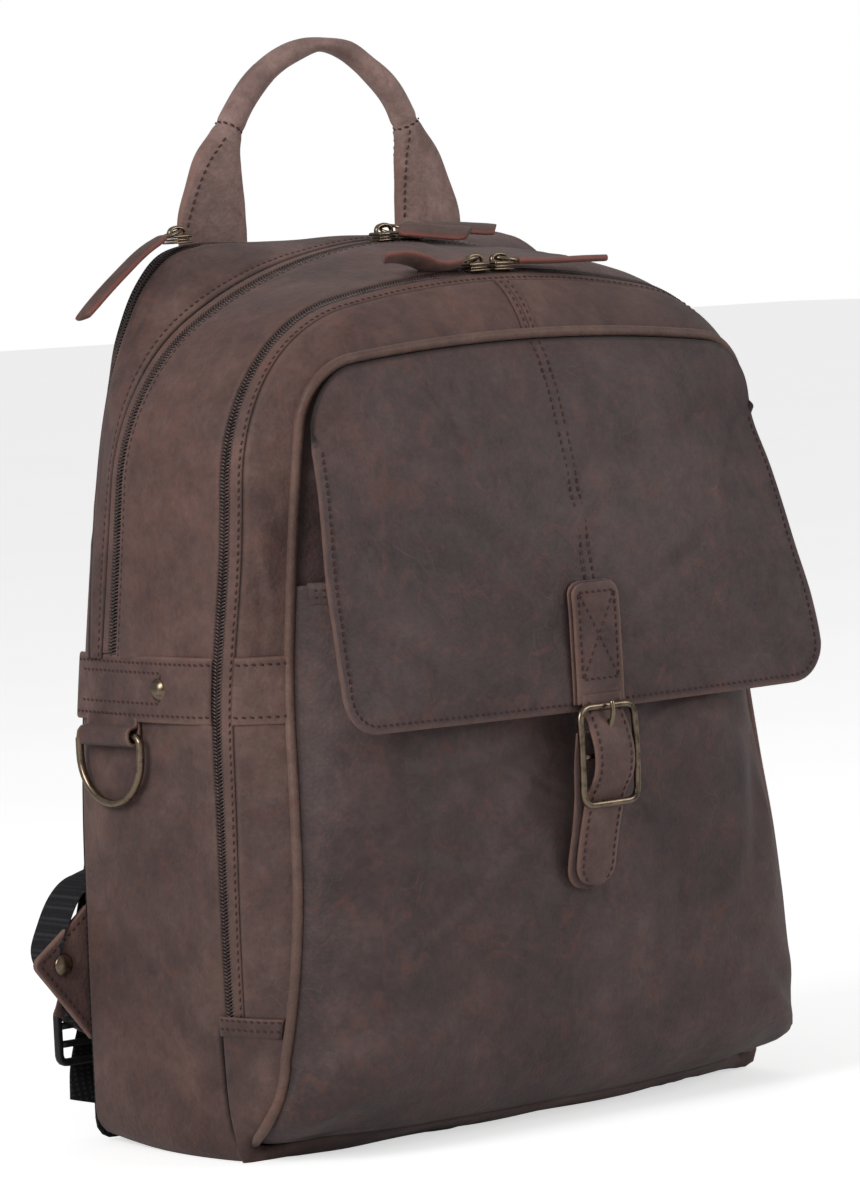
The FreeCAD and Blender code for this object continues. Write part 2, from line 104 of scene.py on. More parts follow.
def unit(v):
    """Each vector at length one."""
    return v / np.maximum(np.linalg.norm(v, axis=-1, keepdims=True), 1e-9)


def curve(x, knots):
    """Smooth interpolation through (x, value) knots."""
    kx = np.array([k[0] for k in knots], float)
    ky = np.array([k[1] for k in knots], float)
    slope = np.gradient(ky, kx)
    x = np.clip(np.asarray(x, float), kx[0], kx[-1])
    i = np.clip(np.searchsorted(kx, x, side="right") - 1, 0, len(kx) - 2)
    h = kx[i + 1] - kx[i]
    t = (x - kx[i]) / h
    return ((2 * t**3 - 3 * t**2 + 1) * ky[i] + (t**3 - 2 * t**2 + t) * h * slope[i]
            + (3 * t**2 - 2 * t**3) * ky[i + 1] + (t**3 - t**2) * h * slope[i + 1])


def lengths(path):
    """How far along a polyline each of its points is."""
    return np.concatenate([[0], np.cumsum(np.linalg.norm(np.diff(path, axis=0), axis=1))])


def sample(want, along, rows):
    """Rows interpolated at the wanted places along them."""
    return np.stack([np.interp(want, along, rows[:, k]) for k in range(rows.shape[1])], 1)


def spaced(path, n):
    """n points evenly spaced along a polyline."""
    along = lengths(path)
    return sample(np.linspace(0, along[-1], n), along, path)


def ripple(p, size, amount, seed):
    """Soft undulation of a surface: a few crossing waves, the same on every run."""
    rng = np.random.default_rng(seed)
    out = np.zeros(p.shape[:-1])
    for _ in range(7):
        direction = rng.normal(size=3)
        direction /= np.linalg.norm(direction)
        wave = 2 * math.pi / (size * rng.uniform(0.6, 1.6))
        out += np.sin(p @ direction * wave + rng.uniform(0, 6.3)) * rng.uniform(0.5, 1)
    return out * amount / 2.2


def place(x, depth, z):
    """Points at x, a depth forward of the back panel, and z."""
    x, depth, z = np.broadcast_arrays(np.asarray(x, float), depth, z)
    return np.stack([x, BACK_Y - depth, z], -1)


# ------------------------------------------------------------------ seam loops
def traced(knots, n):
    """A smooth line through points, n points long."""
    knots = np.array(knots, float)
    along = lengths(knots)
    t = np.linspace(0, along[-1], n)
    return np.stack([curve(t, np.stack([along, knots[:, k]], 1)) for k in range(knots.shape[1])], 1)


def half_outline(s):
    """(x, z) along one half of a seam, from the bottom's middle to the top's middle."""
    w_low, low, heel = s["wide_low"], s["low"], s["heel"]
    a = np.linspace(0, math.pi / 2, 30)
    bottom = np.stack([np.linspace(0, w_low - heel, 40), np.full(40, low)], 1)
    heel_arc = np.stack([w_low - heel + heel * np.sin(a), low + heel - heel * np.cos(a)], 1)
    if "upper" in s:
        rest = traced([(w_low, low + heel)] + list(s["upper"]), 240)
        return np.concatenate([bottom, heel_arc[1:], rest[1:]])
    w_top, w_mid = s["wide"]
    shoulder, crown, top = s["shoulder"], s["crown"], s["top"]
    corner_x = w_top - shoulder
    corner_z = top - crown + math.sqrt((crown - shoulder) ** 2 - corner_x**2)
    lean = math.asin(corner_x / (crown - shoulder))
    z = np.linspace(low + heel, corner_z, 80)
    mid = (low + heel + corner_z) / 2
    side = np.stack([curve(z, [(z[0], w_low), (mid, w_mid), (z[-1], w_top)]), z], 1)
    b = np.linspace(math.pi / 2, lean, 40)
    shoulder_arc = np.stack([corner_x + shoulder * np.sin(b), corner_z + shoulder * np.cos(b)], 1)
    c = np.linspace(lean, 0, 40)
    crown_arc = np.stack([crown * np.sin(c), top - crown + crown * np.cos(c)], 1)
    return np.concatenate([bottom, heel_arc[1:], side[1:], shoulder_arc[1:], crown_arc[1:]])


N_LOW, N_TOP = 46, 84
SIDE_Z = np.arange(SIDE_LOW, SIDE_HIGH + 0.1, SIDE_STEP)


def seam_half(s):
    """The half outline, resampled so that every seam has the same heights along its sides."""
    path = half_outline(s)
    x, z = path[:, 0], path[:, 1]
    first = np.argmax(z > SIDE_LOW)
    last = np.argmax(z > SIDE_HIGH)
    side_x = np.interp(SIDE_Z, z[first - 5:last + 5], x[first - 5:last + 5])
    low = np.concatenate([path[:first], [[side_x[0], SIDE_LOW]]])
    top = np.concatenate([[[side_x[-1], SIDE_HIGH]], path[last:]])
    side = np.stack([side_x, SIDE_Z], 1)
    return np.concatenate([spaced(low, N_LOW)[:-1], side, spaced(top, N_TOP)[1:]])


HALF = N_LOW - 1 + len(SIDE_Z) + N_TOP - 1
LOOP = 2 * (HALF - 1)


def at_height(z):
    """Index of the right-hand side's point at a height within the straight sides."""
    return N_LOW - 1 + int(round((z - SIDE_LOW) / SIDE_STEP))


def seam(s, depth):
    """A closed loop of points, at the depth that depth(x, z) gives."""
    x, z = seam_half(s).T
    d = depth(x, z)
    x = x + s.get("flare", 0) * smooth(42, 14, z) * smooth(110, 135, x)
    z = z - 0.8 * s.get("flare", 0) * smooth(26, 9, z) * smooth(118, 140, x)
    fuller = 1 + s.get("right", 0) * smooth(290, 365, z) * smooth(40, 100, x)
    right = place(x * fuller, d, z)
    left = place(-x, d, z)[-2:0:-1]
    right[:, 2] += 2.6 * smooth(20, 120, x) * smooth(40, 10, z)
    return np.concatenate([right, left])


def arch(low_z):
    """Indices from the right side at a height, over the top, to the left side."""
    i = at_height(low_z)
    return np.arange(i, LOOP - i + 1) % LOOP


def keel(high_z):
    """Indices from the left side at a height, under the bottom, to the right side."""
    i = at_height(high_z)
    return np.arange(LOOP - i, LOOP + i + 1) % LOOP


def piping_depth(x, z):
    """Depth of the piping round the loop."""
    low_run = np.clip(np.arange(len(x)) / (N_LOW - 1), 0, 1)
    bottom = curve(low_run, [(0, 129.5), (0.35, 128.5), (0.57, 124.5), (0.66, 118), (0.72, 108.5),
                             (0.755, 99.5), (0.778, 97), (0.80, 100.4), (0.822, 106.8),
                             (0.844, 113.4), (0.867, 118.4), (0.89, 121.3), (0.93, 123), (1, 124)])
    side = curve(z, [(45, 123.5), (60, 126), (110, 128), (150, 124.5), (197, 121), (250, 124.5),
                     (304, 131), (340, 136.5)])
    return np.where(low_run < 1, bottom, side)


back = seam(BACK, lambda x, z: 1.0 + 0 * x)
laptop = seam(LAPTOP, lambda x, z: 12.5 + 0 * x)
main = seam(MAIN, lambda x, z: 28 + 0.141 * (np.maximum(z, 213) - 213))
front = seam(FRONT, lambda x, z: curve(z, [(0, 103), (8, 102), (22, 98.8), (44, 97), (61, 96.2),
                                           (150, 95.5), (190, 96), (262, 107), (310, 110.5),
                                           (368, 111)]))
piping = seam(PIPING, piping_depth)


def tangents(path, closed=False):
    """The direction of a line at each of its points."""
    if closed:
        return unit(np.roll(path, -1, 0) - np.roll(path, 1, 0))
    return unit(np.gradient(path, axis=0))


def across(before, here, after):
    """Unit directions forward over the surface, square to a seam."""
    t = tangents(here, True)
    d = unit(after - here) + unit(here - before)
    return unit(d - t * np.sum(d * t, 1, keepdims=True))


def outward(path, forward, closed=True):
    """Unit normals that point away from the middle of the bag."""
    n = unit(np.cross(tangents(path, closed), forward))
    return n * np.sign(np.sum(n * (path - BAG_MIDDLE), 1).mean())


laptop_fwd = across(back, laptop, main)
main_fwd = across(laptop, main, front)
front_fwd = across(main, front, piping)
laptop_out = outward(laptop, laptop_fwd)
main_out = outward(main, main_fwd)
front_out = outward(front, front_fwd)


# ------------------------------------------------------------------ materials
def node(tree, kind, x, y, **inputs):
    """A shader node with its inputs set."""
    n = tree.nodes.new(kind)
    n.location = (x, y)
    for key, value in inputs.items():
        n.inputs[key.replace("_", " ")].default_value = value
    return n


def rgb(r, g, b):
    """A display colour, 0 to 255, as the linear colour a shader needs."""
    c = np.array([r, g, b]) / 255.0
    linear = np.where(c <= 0.04045, c / 12.92, ((c + 0.055) / 1.055) ** 2.4)
    return (*[float(v) for v in linear], 1.0)


def material(name):
    """A new material: itself, its tree, its shader and the object coordinates."""
    m = bpy.data.materials.new(name)
    m.use_nodes = True
    tree = m.node_tree
    shader = tree.nodes["Principled BSDF"]
    coord = node(tree, "ShaderNodeTexCoord", -1400, 0)
    return m, tree, shader, coord.outputs["Object"]


def noise(tree, where, scale, detail=4.0, rough=0.55, distort=0.0):
    """A noise texture."""
    n = node(tree, "ShaderNodeTexNoise", -1100, 0, Scale=scale, Detail=detail, Roughness=rough,
             Distortion=distort)
    tree.links.new(where, n.inputs["Vector"])
    return n.outputs["Fac"]


def ramp(tree, value, stops):
    """A colour ramp through (place, colour) stops."""
    r = tree.nodes.new("ShaderNodeValToRGB")
    while len(r.color_ramp.elements) < len(stops):
        r.color_ramp.elements.new(0.5)
    for element, (place_, colour) in zip(r.color_ramp.elements, stops):
        element.position = place_
        element.color = colour
    tree.links.new(value, r.inputs["Fac"])
    return r.outputs["Color"]


def mix(tree, factor, a, b, blend="MIX"):
    """Two colours mixed."""
    m = tree.nodes.new("ShaderNodeMix")
    m.data_type = "RGBA"
    m.blend_type = blend
    for socket, value in ((m.inputs[0], factor), (m.inputs[6], a), (m.inputs[7], b)):
        if isinstance(value, bpy.types.NodeSocket):
            tree.links.new(value, socket)
        else:
            socket.default_value = value
    return m.outputs[2]


def maths(tree, kind, a, b=0.0, clamp=False):
    """A maths node."""
    m = tree.nodes.new("ShaderNodeMath")
    m.operation = kind
    m.use_clamp = clamp
    for socket, value in ((m.inputs[0], a), (m.inputs[1], b)):
        if isinstance(value, bpy.types.NodeSocket):
            tree.links.new(value, socket)
        else:
            socket.default_value = value
    return m.outputs[0]


def above(tree, value, floor_, gain):
    """How far a value is above a floor, times a gain, from 0 to 1."""
    return maths(tree, "MULTIPLY", maths(tree, "SUBTRACT", value, floor_, True), gain, True)


def grey(v):
    """A grey colour."""
    return (v, v, v, 1)


def bump(tree, shader, layers):
    """Stacks (height socket, distance in metres) layers into the shader's normal."""
    last = None
    for height, distance in layers:
        b = node(tree, "ShaderNodeBump", -200, -400, Strength=1.0, Distance=distance)
        tree.links.new(height, b.inputs["Height"])
        if last is not None:
            tree.links.new(last, b.inputs["Normal"])
        last = b.outputs["Normal"]
    tree.links.new(last, shader.inputs["Normal"])


def leather(name, dark, mid, light, edge, roughness=0.62, shade=(1.0, 1.0)):
    """Oiled nubuck: cloudy colour, fine nap, pores, scuffs, rubbed edges, and painted shade in the
    seams.

    The mesh attribute read below is above 0 where an edge is rubbed pale, and below 0 along a seam,
    where it paints the seam's shade as a near-black line.
    The last argument is painted light: the factors on the colour at the bag's foot and at its top,
    darker low down and lighter high up, where the light falls from above.
    """
    m, tree, shader, where = material(name)
    link = tree.links.new
    clouds = noise(tree, where, 13.0, 5.0, 0.6, 0.4)
    base = ramp(tree, clouds, [(0.30, dark), (0.50, mid), (0.70, light)])
    warm = above(tree, noise(tree, where, 6.0, 3.0, 0.5, 0.8), 0.5, 1.6)
    base = mix(tree, warm, base, rgb(108, 72, 64))
    patch = noise(tree, where, 34.0, 4.0, 0.65, 0.3)
    base = mix(tree, 0.55, base, ramp(tree, patch, [(0.32, grey(0.62)), (0.68, grey(1.38))]),
               "MULTIPLY")
    fleck = noise(tree, where, 420.0, 3.0, 0.7)
    base = mix(tree, 0.30, base, ramp(tree, fleck, [(0.3, grey(0.6)), (0.7, grey(1.4))]),
               "MULTIPLY")
    small = noise(tree, where, 110.0, 5.0, 0.7, 0.5)
    base = mix(tree, 0.42, base, ramp(tree, small, [(0.36, (0.66, 0.64, 0.64, 1)),
                                                    (0.64, (1.36, 1.32, 1.32, 1))]), "MULTIPLY")
    rust = above(tree, noise(tree, where, 75.0, 6.0, 0.75, 1.2), 0.52, 2.6)
    base = mix(tree, rust, base, rgb(118, 74, 62))
    bent = node(tree, "ShaderNodeTexNoise", -1250, -300, Scale=38.0, Detail=2.0)
    link(where, bent.inputs["Vector"])
    wander = tree.nodes.new("ShaderNodeVectorMath")
    wander.operation = "MULTIPLY_ADD"
    link(bent.outputs["Color"], wander.inputs[0])
    wander.inputs[1].default_value = (0.03, 0.03, 0.03)
    link(where, wander.inputs[2])
    hair = tree.nodes.new("ShaderNodeTexVoronoi")
    hair.feature = "DISTANCE_TO_EDGE"
    hair.inputs["Scale"].default_value = 46.0
    link(wander.outputs[0], hair.inputs["Vector"])
    line_ = maths(tree, "SUBTRACT", 1.0, maths(tree, "MULTIPLY", hair.outputs["Distance"], 55.0),
                  True)
    here = above(tree, noise(tree, where, 30.0, 3.0, 0.6), 0.55, 5.0)
    scratch = maths(tree, "MULTIPLY", line_, here)
    base = mix(tree, maths(tree, "MULTIPLY", scratch, 0.30), base, rgb(146, 116, 104))
    # the attribute holds rubbed edge wear above 0 and painted seam shade below 0
    wear_and_shade = tree.nodes.new("ShaderNodeAttribute")
    wear_and_shade.attribute_name = "wear_and_shade"
    break_up = maths(tree, "ADD", noise(tree, where, 120.0, 4.0, 0.7), 0.15)
    worn_f = maths(tree, "MULTIPLY", wear_and_shade.outputs["Fac"], break_up, True)
    base = mix(tree, worn_f, base, edge)
    # painted shade: near-black colour along the seams, where the attribute is below 0
    painted_seam_shade = maths(tree, "MULTIPLY", wear_and_shade.outputs["Fac"], -1.0, True)
    base = mix(tree, painted_seam_shade, base, (0.006, 0.004, 0.004, 1))
    # painted light: the colour is darker towards the foot and lighter towards the top
    if shade != (1.0, 1.0):
        height = tree.nodes.new("ShaderNodeSeparateXYZ")
        link(where, height.inputs[0])
        up_ = maths(tree, "MULTIPLY", height.outputs["Z"], 2.8, True)
        base = mix(tree, 1.0, base, ramp(tree, up_, [(0.12, grey(shade[0])),
                                                     (0.80, grey(shade[1]))]), "MULTIPLY")
    link(base, shader.inputs["Base Color"])
    rough = maths(tree, "ADD", maths(tree, "MULTIPLY", patch, 0.22), roughness - 0.11)
    link(rough, shader.inputs["Roughness"])
    shader.inputs["Specular IOR Level"].default_value = 0.32
    shader.inputs["Sheen Weight"].default_value = 0.10
    shader.inputs["Sheen Roughness"].default_value = 0.5
    pores = tree.nodes.new("ShaderNodeTexVoronoi")
    pores.inputs["Scale"].default_value = 620.0
    link(where, pores.inputs["Vector"])
    scuff = tree.nodes.new("ShaderNodeMapping")
    scuff.inputs["Scale"].default_value = (1.0, 1.0, 0.22)
    scuff.inputs["Rotation"].default_value = (0.5, 0.35, 0.6)
    link(where, scuff.inputs["Vector"])
    streaks = noise(tree, scuff.outputs["Vector"], 190.0, 3.0, 0.6)
    bump(tree, shader, [(noise(tree, where, 26.0, 3.0, 0.5), 0.0012),
                        (streaks, 0.00022),
                        (pores.outputs["Distance"], 0.00014),
                        (fleck, 0.00016)])
    return m


def metal(name, dark, light, roughness):
    """Antique brass: darkened in the hollows, rubbed bright on the edges."""
    m, tree, shader, where = material(name)
    tarnish = noise(tree, where, 260.0, 5.0, 0.65, 0.4)
    wear_and_shade = tree.nodes.new("ShaderNodeNewGeometry")
    edge = above(tree, wear_and_shade.outputs["Pointiness"], 0.5, 6.0)
    colour = ramp(tree, maths(tree, "ADD", tarnish, edge), [(0.34, dark), (0.72, light)])
    tree.links.new(colour, shader.inputs["Base Color"])
    shader.inputs["Metallic"].default_value = 1.0
    rough = maths(tree, "ADD", maths(tree, "MULTIPLY", tarnish, 0.25), roughness - 0.1)
    tree.links.new(rough, shader.inputs["Roughness"])
    bump(tree, shader, [(tarnish, 0.00006)])
    return m


def woven(name, dark, light, pitch, ribs, depth=0.0003):
    """Woven tape or webbing: two crossing waves, ribs across the run."""
    m, tree, shader, where = material(name)
    waves = []
    for direction, size in (("Z", pitch), ("X", pitch * ribs)):
        w = tree.nodes.new("ShaderNodeTexWave")
        w.bands_direction = direction
        w.inputs["Scale"].default_value = 2 * math.pi / size / 20
        w.inputs["Distortion"].default_value = 0.6
        tree.links.new(where, w.inputs["Vector"])
        waves.append(w.outputs["Fac"])
    weave = maths(tree, "MULTIPLY", waves[0], waves[1])
    fuzz = noise(tree, where, 700.0, 3.0, 0.7)
    colour = ramp(tree, maths(tree, "MULTIPLY", maths(tree, "ADD", weave, fuzz), 0.5),
                  [(0.15, dark), (0.7, light)])
    tree.links.new(colour, shader.inputs["Base Color"])
    shader.inputs["Roughness"].default_value = 0.8
    shader.inputs["Specular IOR Level"].default_value = 0.25
    bump(tree, shader, [(weave, depth), (fuzz, 0.0001)])
    return m


def thread(name, dark, light):
    """Twisted thread."""
    m, tree, shader, where = material(name)
    twist = noise(tree, where, 900.0, 2.0, 0.6, 1.0)
    tree.links.new(ramp(tree, twist, [(0.3, dark), (0.7, light)]), shader.inputs["Base Color"])
    shader.inputs["Roughness"].default_value = 0.6
    bump(tree, shader, [(twist, 0.0002)])
    return m


def moulded(name, dark, light, roughness):
    """Moulded plastic."""
    m, tree, shader, where = material(name)
    mottle = noise(tree, where, 150.0, 4.0, 0.6)
    tree.links.new(ramp(tree, mottle, [(0.3, dark), (0.7, light)]), shader.inputs["Base Color"])
    rough = maths(tree, "ADD", maths(tree, "MULTIPLY", mottle, 0.2), roughness - 0.1)
    tree.links.new(rough, shader.inputs["Roughness"])
    bump(tree, shader, [(noise(tree, where, 1400.0, 2.0, 0.5), 0.00006)])
    return m


EDGE = rgb(138, 104, 92)
# the body leather gets painted light, darker at its foot and lighter at its top
BODY = leather("body_leather", rgb(74, 58, 56), rgb(91, 70, 66), rgb(112, 87, 80), EDGE,
               shade=(0.82, 1.08))
FACE = leather("front_leather", rgb(67, 53, 53), rgb(76, 61, 60), rgb(89, 73, 71), EDGE, 0.56)
TRIM = leather("trim_leather", rgb(72, 56, 54), rgb(92, 71, 67), rgb(116, 91, 84), EDGE, 0.6)
HANDLE = leather("handle_leather", rgb(118, 96, 91), rgb(150, 122, 115), rgb(172, 143, 133), EDGE,
                 0.6)
PIPE = leather("piping_leather", rgb(82, 63, 57), rgb(102, 79, 71), rgb(122, 97, 86), EDGE, 0.52)
PULL = leather("pull_leather", rgb(82, 62, 57), rgb(102, 79, 72), rgb(124, 98, 90),
               rgb(146, 84, 74), 0.6)
BRASS = metal("antique_brass", rgb(54, 46, 42), rgb(144, 127, 108), 0.27)
TAPE = woven("zip_tape", rgb(38, 30, 30), rgb(62, 50, 48), 0.0008, 1.0)
COIL = moulded("zip_coil", rgb(52, 40, 38), rgb(84, 66, 62), 0.32)
WEB = woven("webbing", rgb(20, 20, 22), rgb(52, 52, 56), 0.0022, 1.6)
MESH = woven("spacer_mesh", rgb(14, 14, 15), rgb(46, 46, 48), 0.0030, 1.0, depth=0.0006)
LINING = woven("lining", rgb(30, 27, 26), rgb(52, 47, 44), 0.0010, 1.0)
THREAD = thread("thread", rgb(46, 25, 26), rgb(80, 45, 42))
PLASTIC = moulded("black_plastic", rgb(16, 16, 17), rgb(34, 34, 36), 0.45)
BOARD = moulded("stiffener", rgb(30, 30, 31), rgb(52, 52, 54), 0.6)


# ------------------------------------------------------------------ meshes
def piece(name, verts, faces, mat, body="bag", thick=0.0, replaces=(), slot=None, wear_and_shade=None,
          sharp=False, outside=None):
    """Makes one object from millimetre points, and sets it on its body."""
    mesh = bpy.data.meshes.new(name)
    mesh.from_pydata((np.asarray(verts, float) * MM).tolist(), [], [list(f) for f in faces])
    mesh.update()
    obj = bpy.data.objects.new(name, mesh)
    bpy.context.scene.collection.objects.link(obj)
    mesh.materials.append(mat)
    if wear_and_shade is not None:
        # this attribute carries both rubbed edge wear and painted seam shade
        attribute = mesh.attributes.new("wear_and_shade", "FLOAT", "POINT")
        attribute.data.foreach_set("value", np.asarray(wear_and_shade, np.float32).ravel())
    bm = bmesh.new()
    bm.from_mesh(mesh)
    if outside is None:
        bmesh.ops.recalc_face_normals(bm, faces=bm.faces)
    else:
        total = sum(((f.calc_center_median() - Vector(outside) * MM).dot(f.normal)
                     * f.calc_area() for f in bm.faces))
        if total < 0:
            bmesh.ops.reverse_faces(bm, faces=bm.faces)
    bm.to_mesh(mesh)
    bm.free()
    if not sharp:
        mesh.shade_smooth()
    if thick:
        solid = obj.modifiers.new("thickness", "SOLIDIFY")
        solid.thickness = thick * MM
        solid.offset = -1
        solid.use_even_offset = False
    if body:
        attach(obj, body)
    if replaces:
        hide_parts(*replaces)
    return obj


def grid_faces(n, m, closed=False, closed_across=False):
    """The quads of a grid of n by m points."""
    faces = []
    for i in range(n if closed else n - 1):
        for j in range(m if closed_across else m - 1):
            a, b = i, (i + 1) % n
            c = (j + 1) % m
            faces.append((a * m + j, b * m + j, b * m + c, a * m + c))
    return faces


def tube_faces(n, m):
    """n closed rings of m points, with both ends capped."""
    ends = [tuple(range(m)), tuple((n - 1) * m + j for j in range(m))]
    return grid_faces(n, m, False, True) + ends


def disc_faces(n, m):
    """A closed grid of n by m points whose innermost ring is filled."""
    return grid_faces(n, m, True) + [tuple(i * m + m - 1 for i in range(n))]


def normals(p):
    """Unit normals of a grid of points."""
    return unit(np.cross(np.gradient(p, axis=0), np.gradient(p, axis=1)))


def away(n, p, middle):
    """Normals turned, if need be, so that they point away from a middle."""
    sign = np.sign(np.sum(n * (p - np.asarray(middle, float))))
    return n * (sign if sign else 1)


def sweep(path, profile, up, closed=False):
    """Carries a closed profile of (sideways, outward) points along a path. up is outward."""
    t = tangents(path, closed)
    up = np.asarray(up, float)
    up = unit(up - t * np.sum(up * t, 1, keepdims=True))
    side = np.cross(t, up)
    if profile.ndim == 2:
        profile = np.broadcast_to(profile, (len(path),) + profile.shape)
    p = path[:, None] + side[:, None] * profile[..., :1] + up[:, None] * profile[..., 1:]
    n, m = p.shape[:2]
    return p.reshape(-1, 3), grid_faces(n, m, True, True) if closed else tube_faces(n, m)


def circle(radius, sides=12):
    """A round section."""
    a = np.linspace(0, 2 * math.pi, sides, endpoint=False)
    return np.stack([np.cos(a), np.sin(a)], 1) * radius


def bar_profile(width, thick, round_r):
    """A flat strap's cross-section with rounded edges, as (sideways, outward)."""
    r = min(round_r, thick / 2 - 0.01, width / 2 - 0.01)
    points = []
    for cx, cy, start in ((1, 1, 0), (-1, 1, 90), (-1, -1, 180), (1, -1, 270)):
        for k in range(5):
            a = math.radians(start + 90 * k / 4)
            points.append((cx * (width / 2 - r) + r * math.cos(a),
                           cy * (thick / 2 - r) + r * math.sin(a)))
        if cy == 1 and cx == 1 or cy == -1 and cx == -1:
            for k in range(1, 6):
                points.append((cx * (width / 2 - r) * (1 - k / 3.0), cy * thick / 2))
    return np.array(points)


def join(parts):
    """Joins (points, faces) lists into one."""
    verts, faces, base = [], [], 0
    for v, f in parts:
        verts.append(np.asarray(v, float))
        faces += [tuple(i + base for i in face) for face in f]
        base += len(v)
    return np.concatenate(verts), faces


CAPSULE_SIDES = 6


def capsule(stations, radii, lift):
    """Rings of (along, sideways, outward) points, from (place, size, rise) stations."""
    around = np.linspace(0, 2 * math.pi, CAPSULE_SIDES, endpoint=False)
    return np.array([(along, off + size * radii[0] * math.cos(a),
                      size * radii[1] * math.sin(a) + rise + lift)
                     for along, off, size, rise in stations for a in around])


def copies(template, centres, along, sideways, outward_):
    """A closed capsule at each centre, turned to its own three directions."""
    verts = (centres[:, None] + along[:, None] * template[None, :, :1]
             + sideways[:, None] * template[None, :, 1:2]
             + outward_[:, None] * template[None, :, 2:])
    n, last = CAPSULE_SIDES, len(template) - CAPSULE_SIDES
    cell = [(i + j, i + (j + 1) % n, i + n + (j + 1) % n, i + n + j)
            for i in range(0, last, n) for j in range(n)]
    cell += [tuple(range(n - 1, -1, -1)), tuple(range(last, last + n))]
    faces = [tuple(i + len(template) * c for i in f) for c in range(len(centres)) for f in cell]
    return verts.reshape(-1, 3), faces


class Stitches:
    """Collects stitches and makes one piece of them for each body."""

    runs = {}

    @classmethod
    def add(cls, path, up, body="bag", closed=False, lift=0.0):
        path = np.asarray(path, float)
        up = np.broadcast_to(np.asarray(up, float), path.shape)
        if closed:
            path, up = np.concatenate([path, path[:1]]), np.concatenate([up, up[:1]])
        along = lengths(path)
        count = max(int(along[-1] / STITCH_PITCH), 1)
        s = (np.arange(count) + 0.5) * along[-1] / count
        normal = unit(sample(s, along, up))
        t = unit(sample(s, along, np.gradient(path, axis=0)))
        side = unit(np.cross(t, normal))
        t = unit(t + side * STITCH_SLANT)
        half = STITCH_LENGTH / 2
        template = capsule([(-half, 0, 0.12, -0.32), (-0.72 * half, 0, 0.75, 0.0),
                            (0, 0, 1.0, 0.14), (0.72 * half, 0, 0.75, 0.0),
                            (half, 0, 0.12, -0.32)],
                           (0.50, 0.36), lift)
        cls.runs.setdefault(body, []).append(
            copies(template, sample(s, along, path), t, side, normal))

    @classmethod
    def make(cls):
        for body, runs in cls.runs.items():
            piece("stitches_" + body, *join(runs), THREAD, body)


# ------------------------------------------------------------------ panels of the body
EDGE_STEPS = np.array([0.0, 0.35, 0.9, 1.6, 2.4, STITCH_IN, 4.3, 6.0])


def panel(name, a, b, index, mat, puff, roll=(2.0, 2.0), stitch=(True, True), across_n=12,
          replaces=(), slot="body_leather", thick=1.6, wave=(0.5, 70.0), seed=1, extra=None,
          worn_edge=(0.25, 0.25), crease=12):
    """A leather panel between two seam edges, crowned, with rolled and stitched edges.

    roll, stitch and worn_edge are for the edge at a and the edge at b. wave is (amount, size) of
    the undulation. extra(p, s, width) adds its own rise, s being the distance from a.
    """
    a, b = a[index], b[index]
    width = np.linalg.norm(b - a, axis=1)[:, None]
    edge = EDGE_STEPS[None] * np.minimum(1, width / 13.5)
    inner_lo, inner_hi = edge[:, -1:], width - edge[:, -1:]
    t = np.linspace(0, 1, across_n + 2)[1:-1][None]
    s = np.concatenate([edge, inner_lo + (inner_hi - inner_lo) * t, width - edge[:, ::-1]], 1)
    v = s / width
    p = a[:, None] * (1 - v[..., None]) + b[:, None] * v[..., None]
    n = away(normals(p), p, BAG_MIDDLE)
    lift = puff * np.minimum(1, width / 30.0) * (4 * v * (1 - v)) ** 0.7
    lift = lift + ripple(p, wave[1], wave[0], seed) * smooth(0, 8, s) * smooth(0, 8, width - s)
    for side, r in ((s, roll[0]), (width - s, roll[1])):
        if r:
            inside = np.clip(1 - side / r, 0, 1)
            lift -= r * (1 - np.sqrt(1 - inside**2 * 0.98))
    for side, sewn in ((s, stitch[0]), (width - s, stitch[1])):
        if sewn:
            lift -= 0.32 * np.exp(-((side - STITCH_IN) / 0.8) ** 2)
    if extra is not None:
        lift = lift + extra(p, s, width)
    lift = lift + creases(p, n, crease, seed + 100) * smooth(1, 9, s) * smooth(1, 9, width - s)
    p = p + n * lift[..., None]
    wear_and_shade = np.maximum(np.exp(-((s - 1.8) / 0.8) ** 2) * worn_edge[0],
                      np.exp(-((width - s - 1.8) / 0.8) ** 2) * worn_edge[1])
    # painted shade: a thin near-black line of colour along both seams of the panel
    wear_and_shade = wear_and_shade - 0.9 * np.exp(-(np.minimum(s, width - s) / 0.75) ** 2)
    wear_and_shade = wear_and_shade * smooth(4, 24, p[..., 2])
    piece(name, p.reshape(-1, 3), grid_faces(*p.shape[:2]), mat, thick=thick, replaces=replaces,
          slot=slot, wear_and_shade=wear_and_shade, outside=BAG_MIDDLE)
    final_n = away(normals(p), p, BAG_MIDDLE)
    for sewn, column in ((stitch[0], 5), (stitch[1], -6)):
        if sewn:
            Stitches.add(p[:, column], final_n[:, column])
    return p, final_n


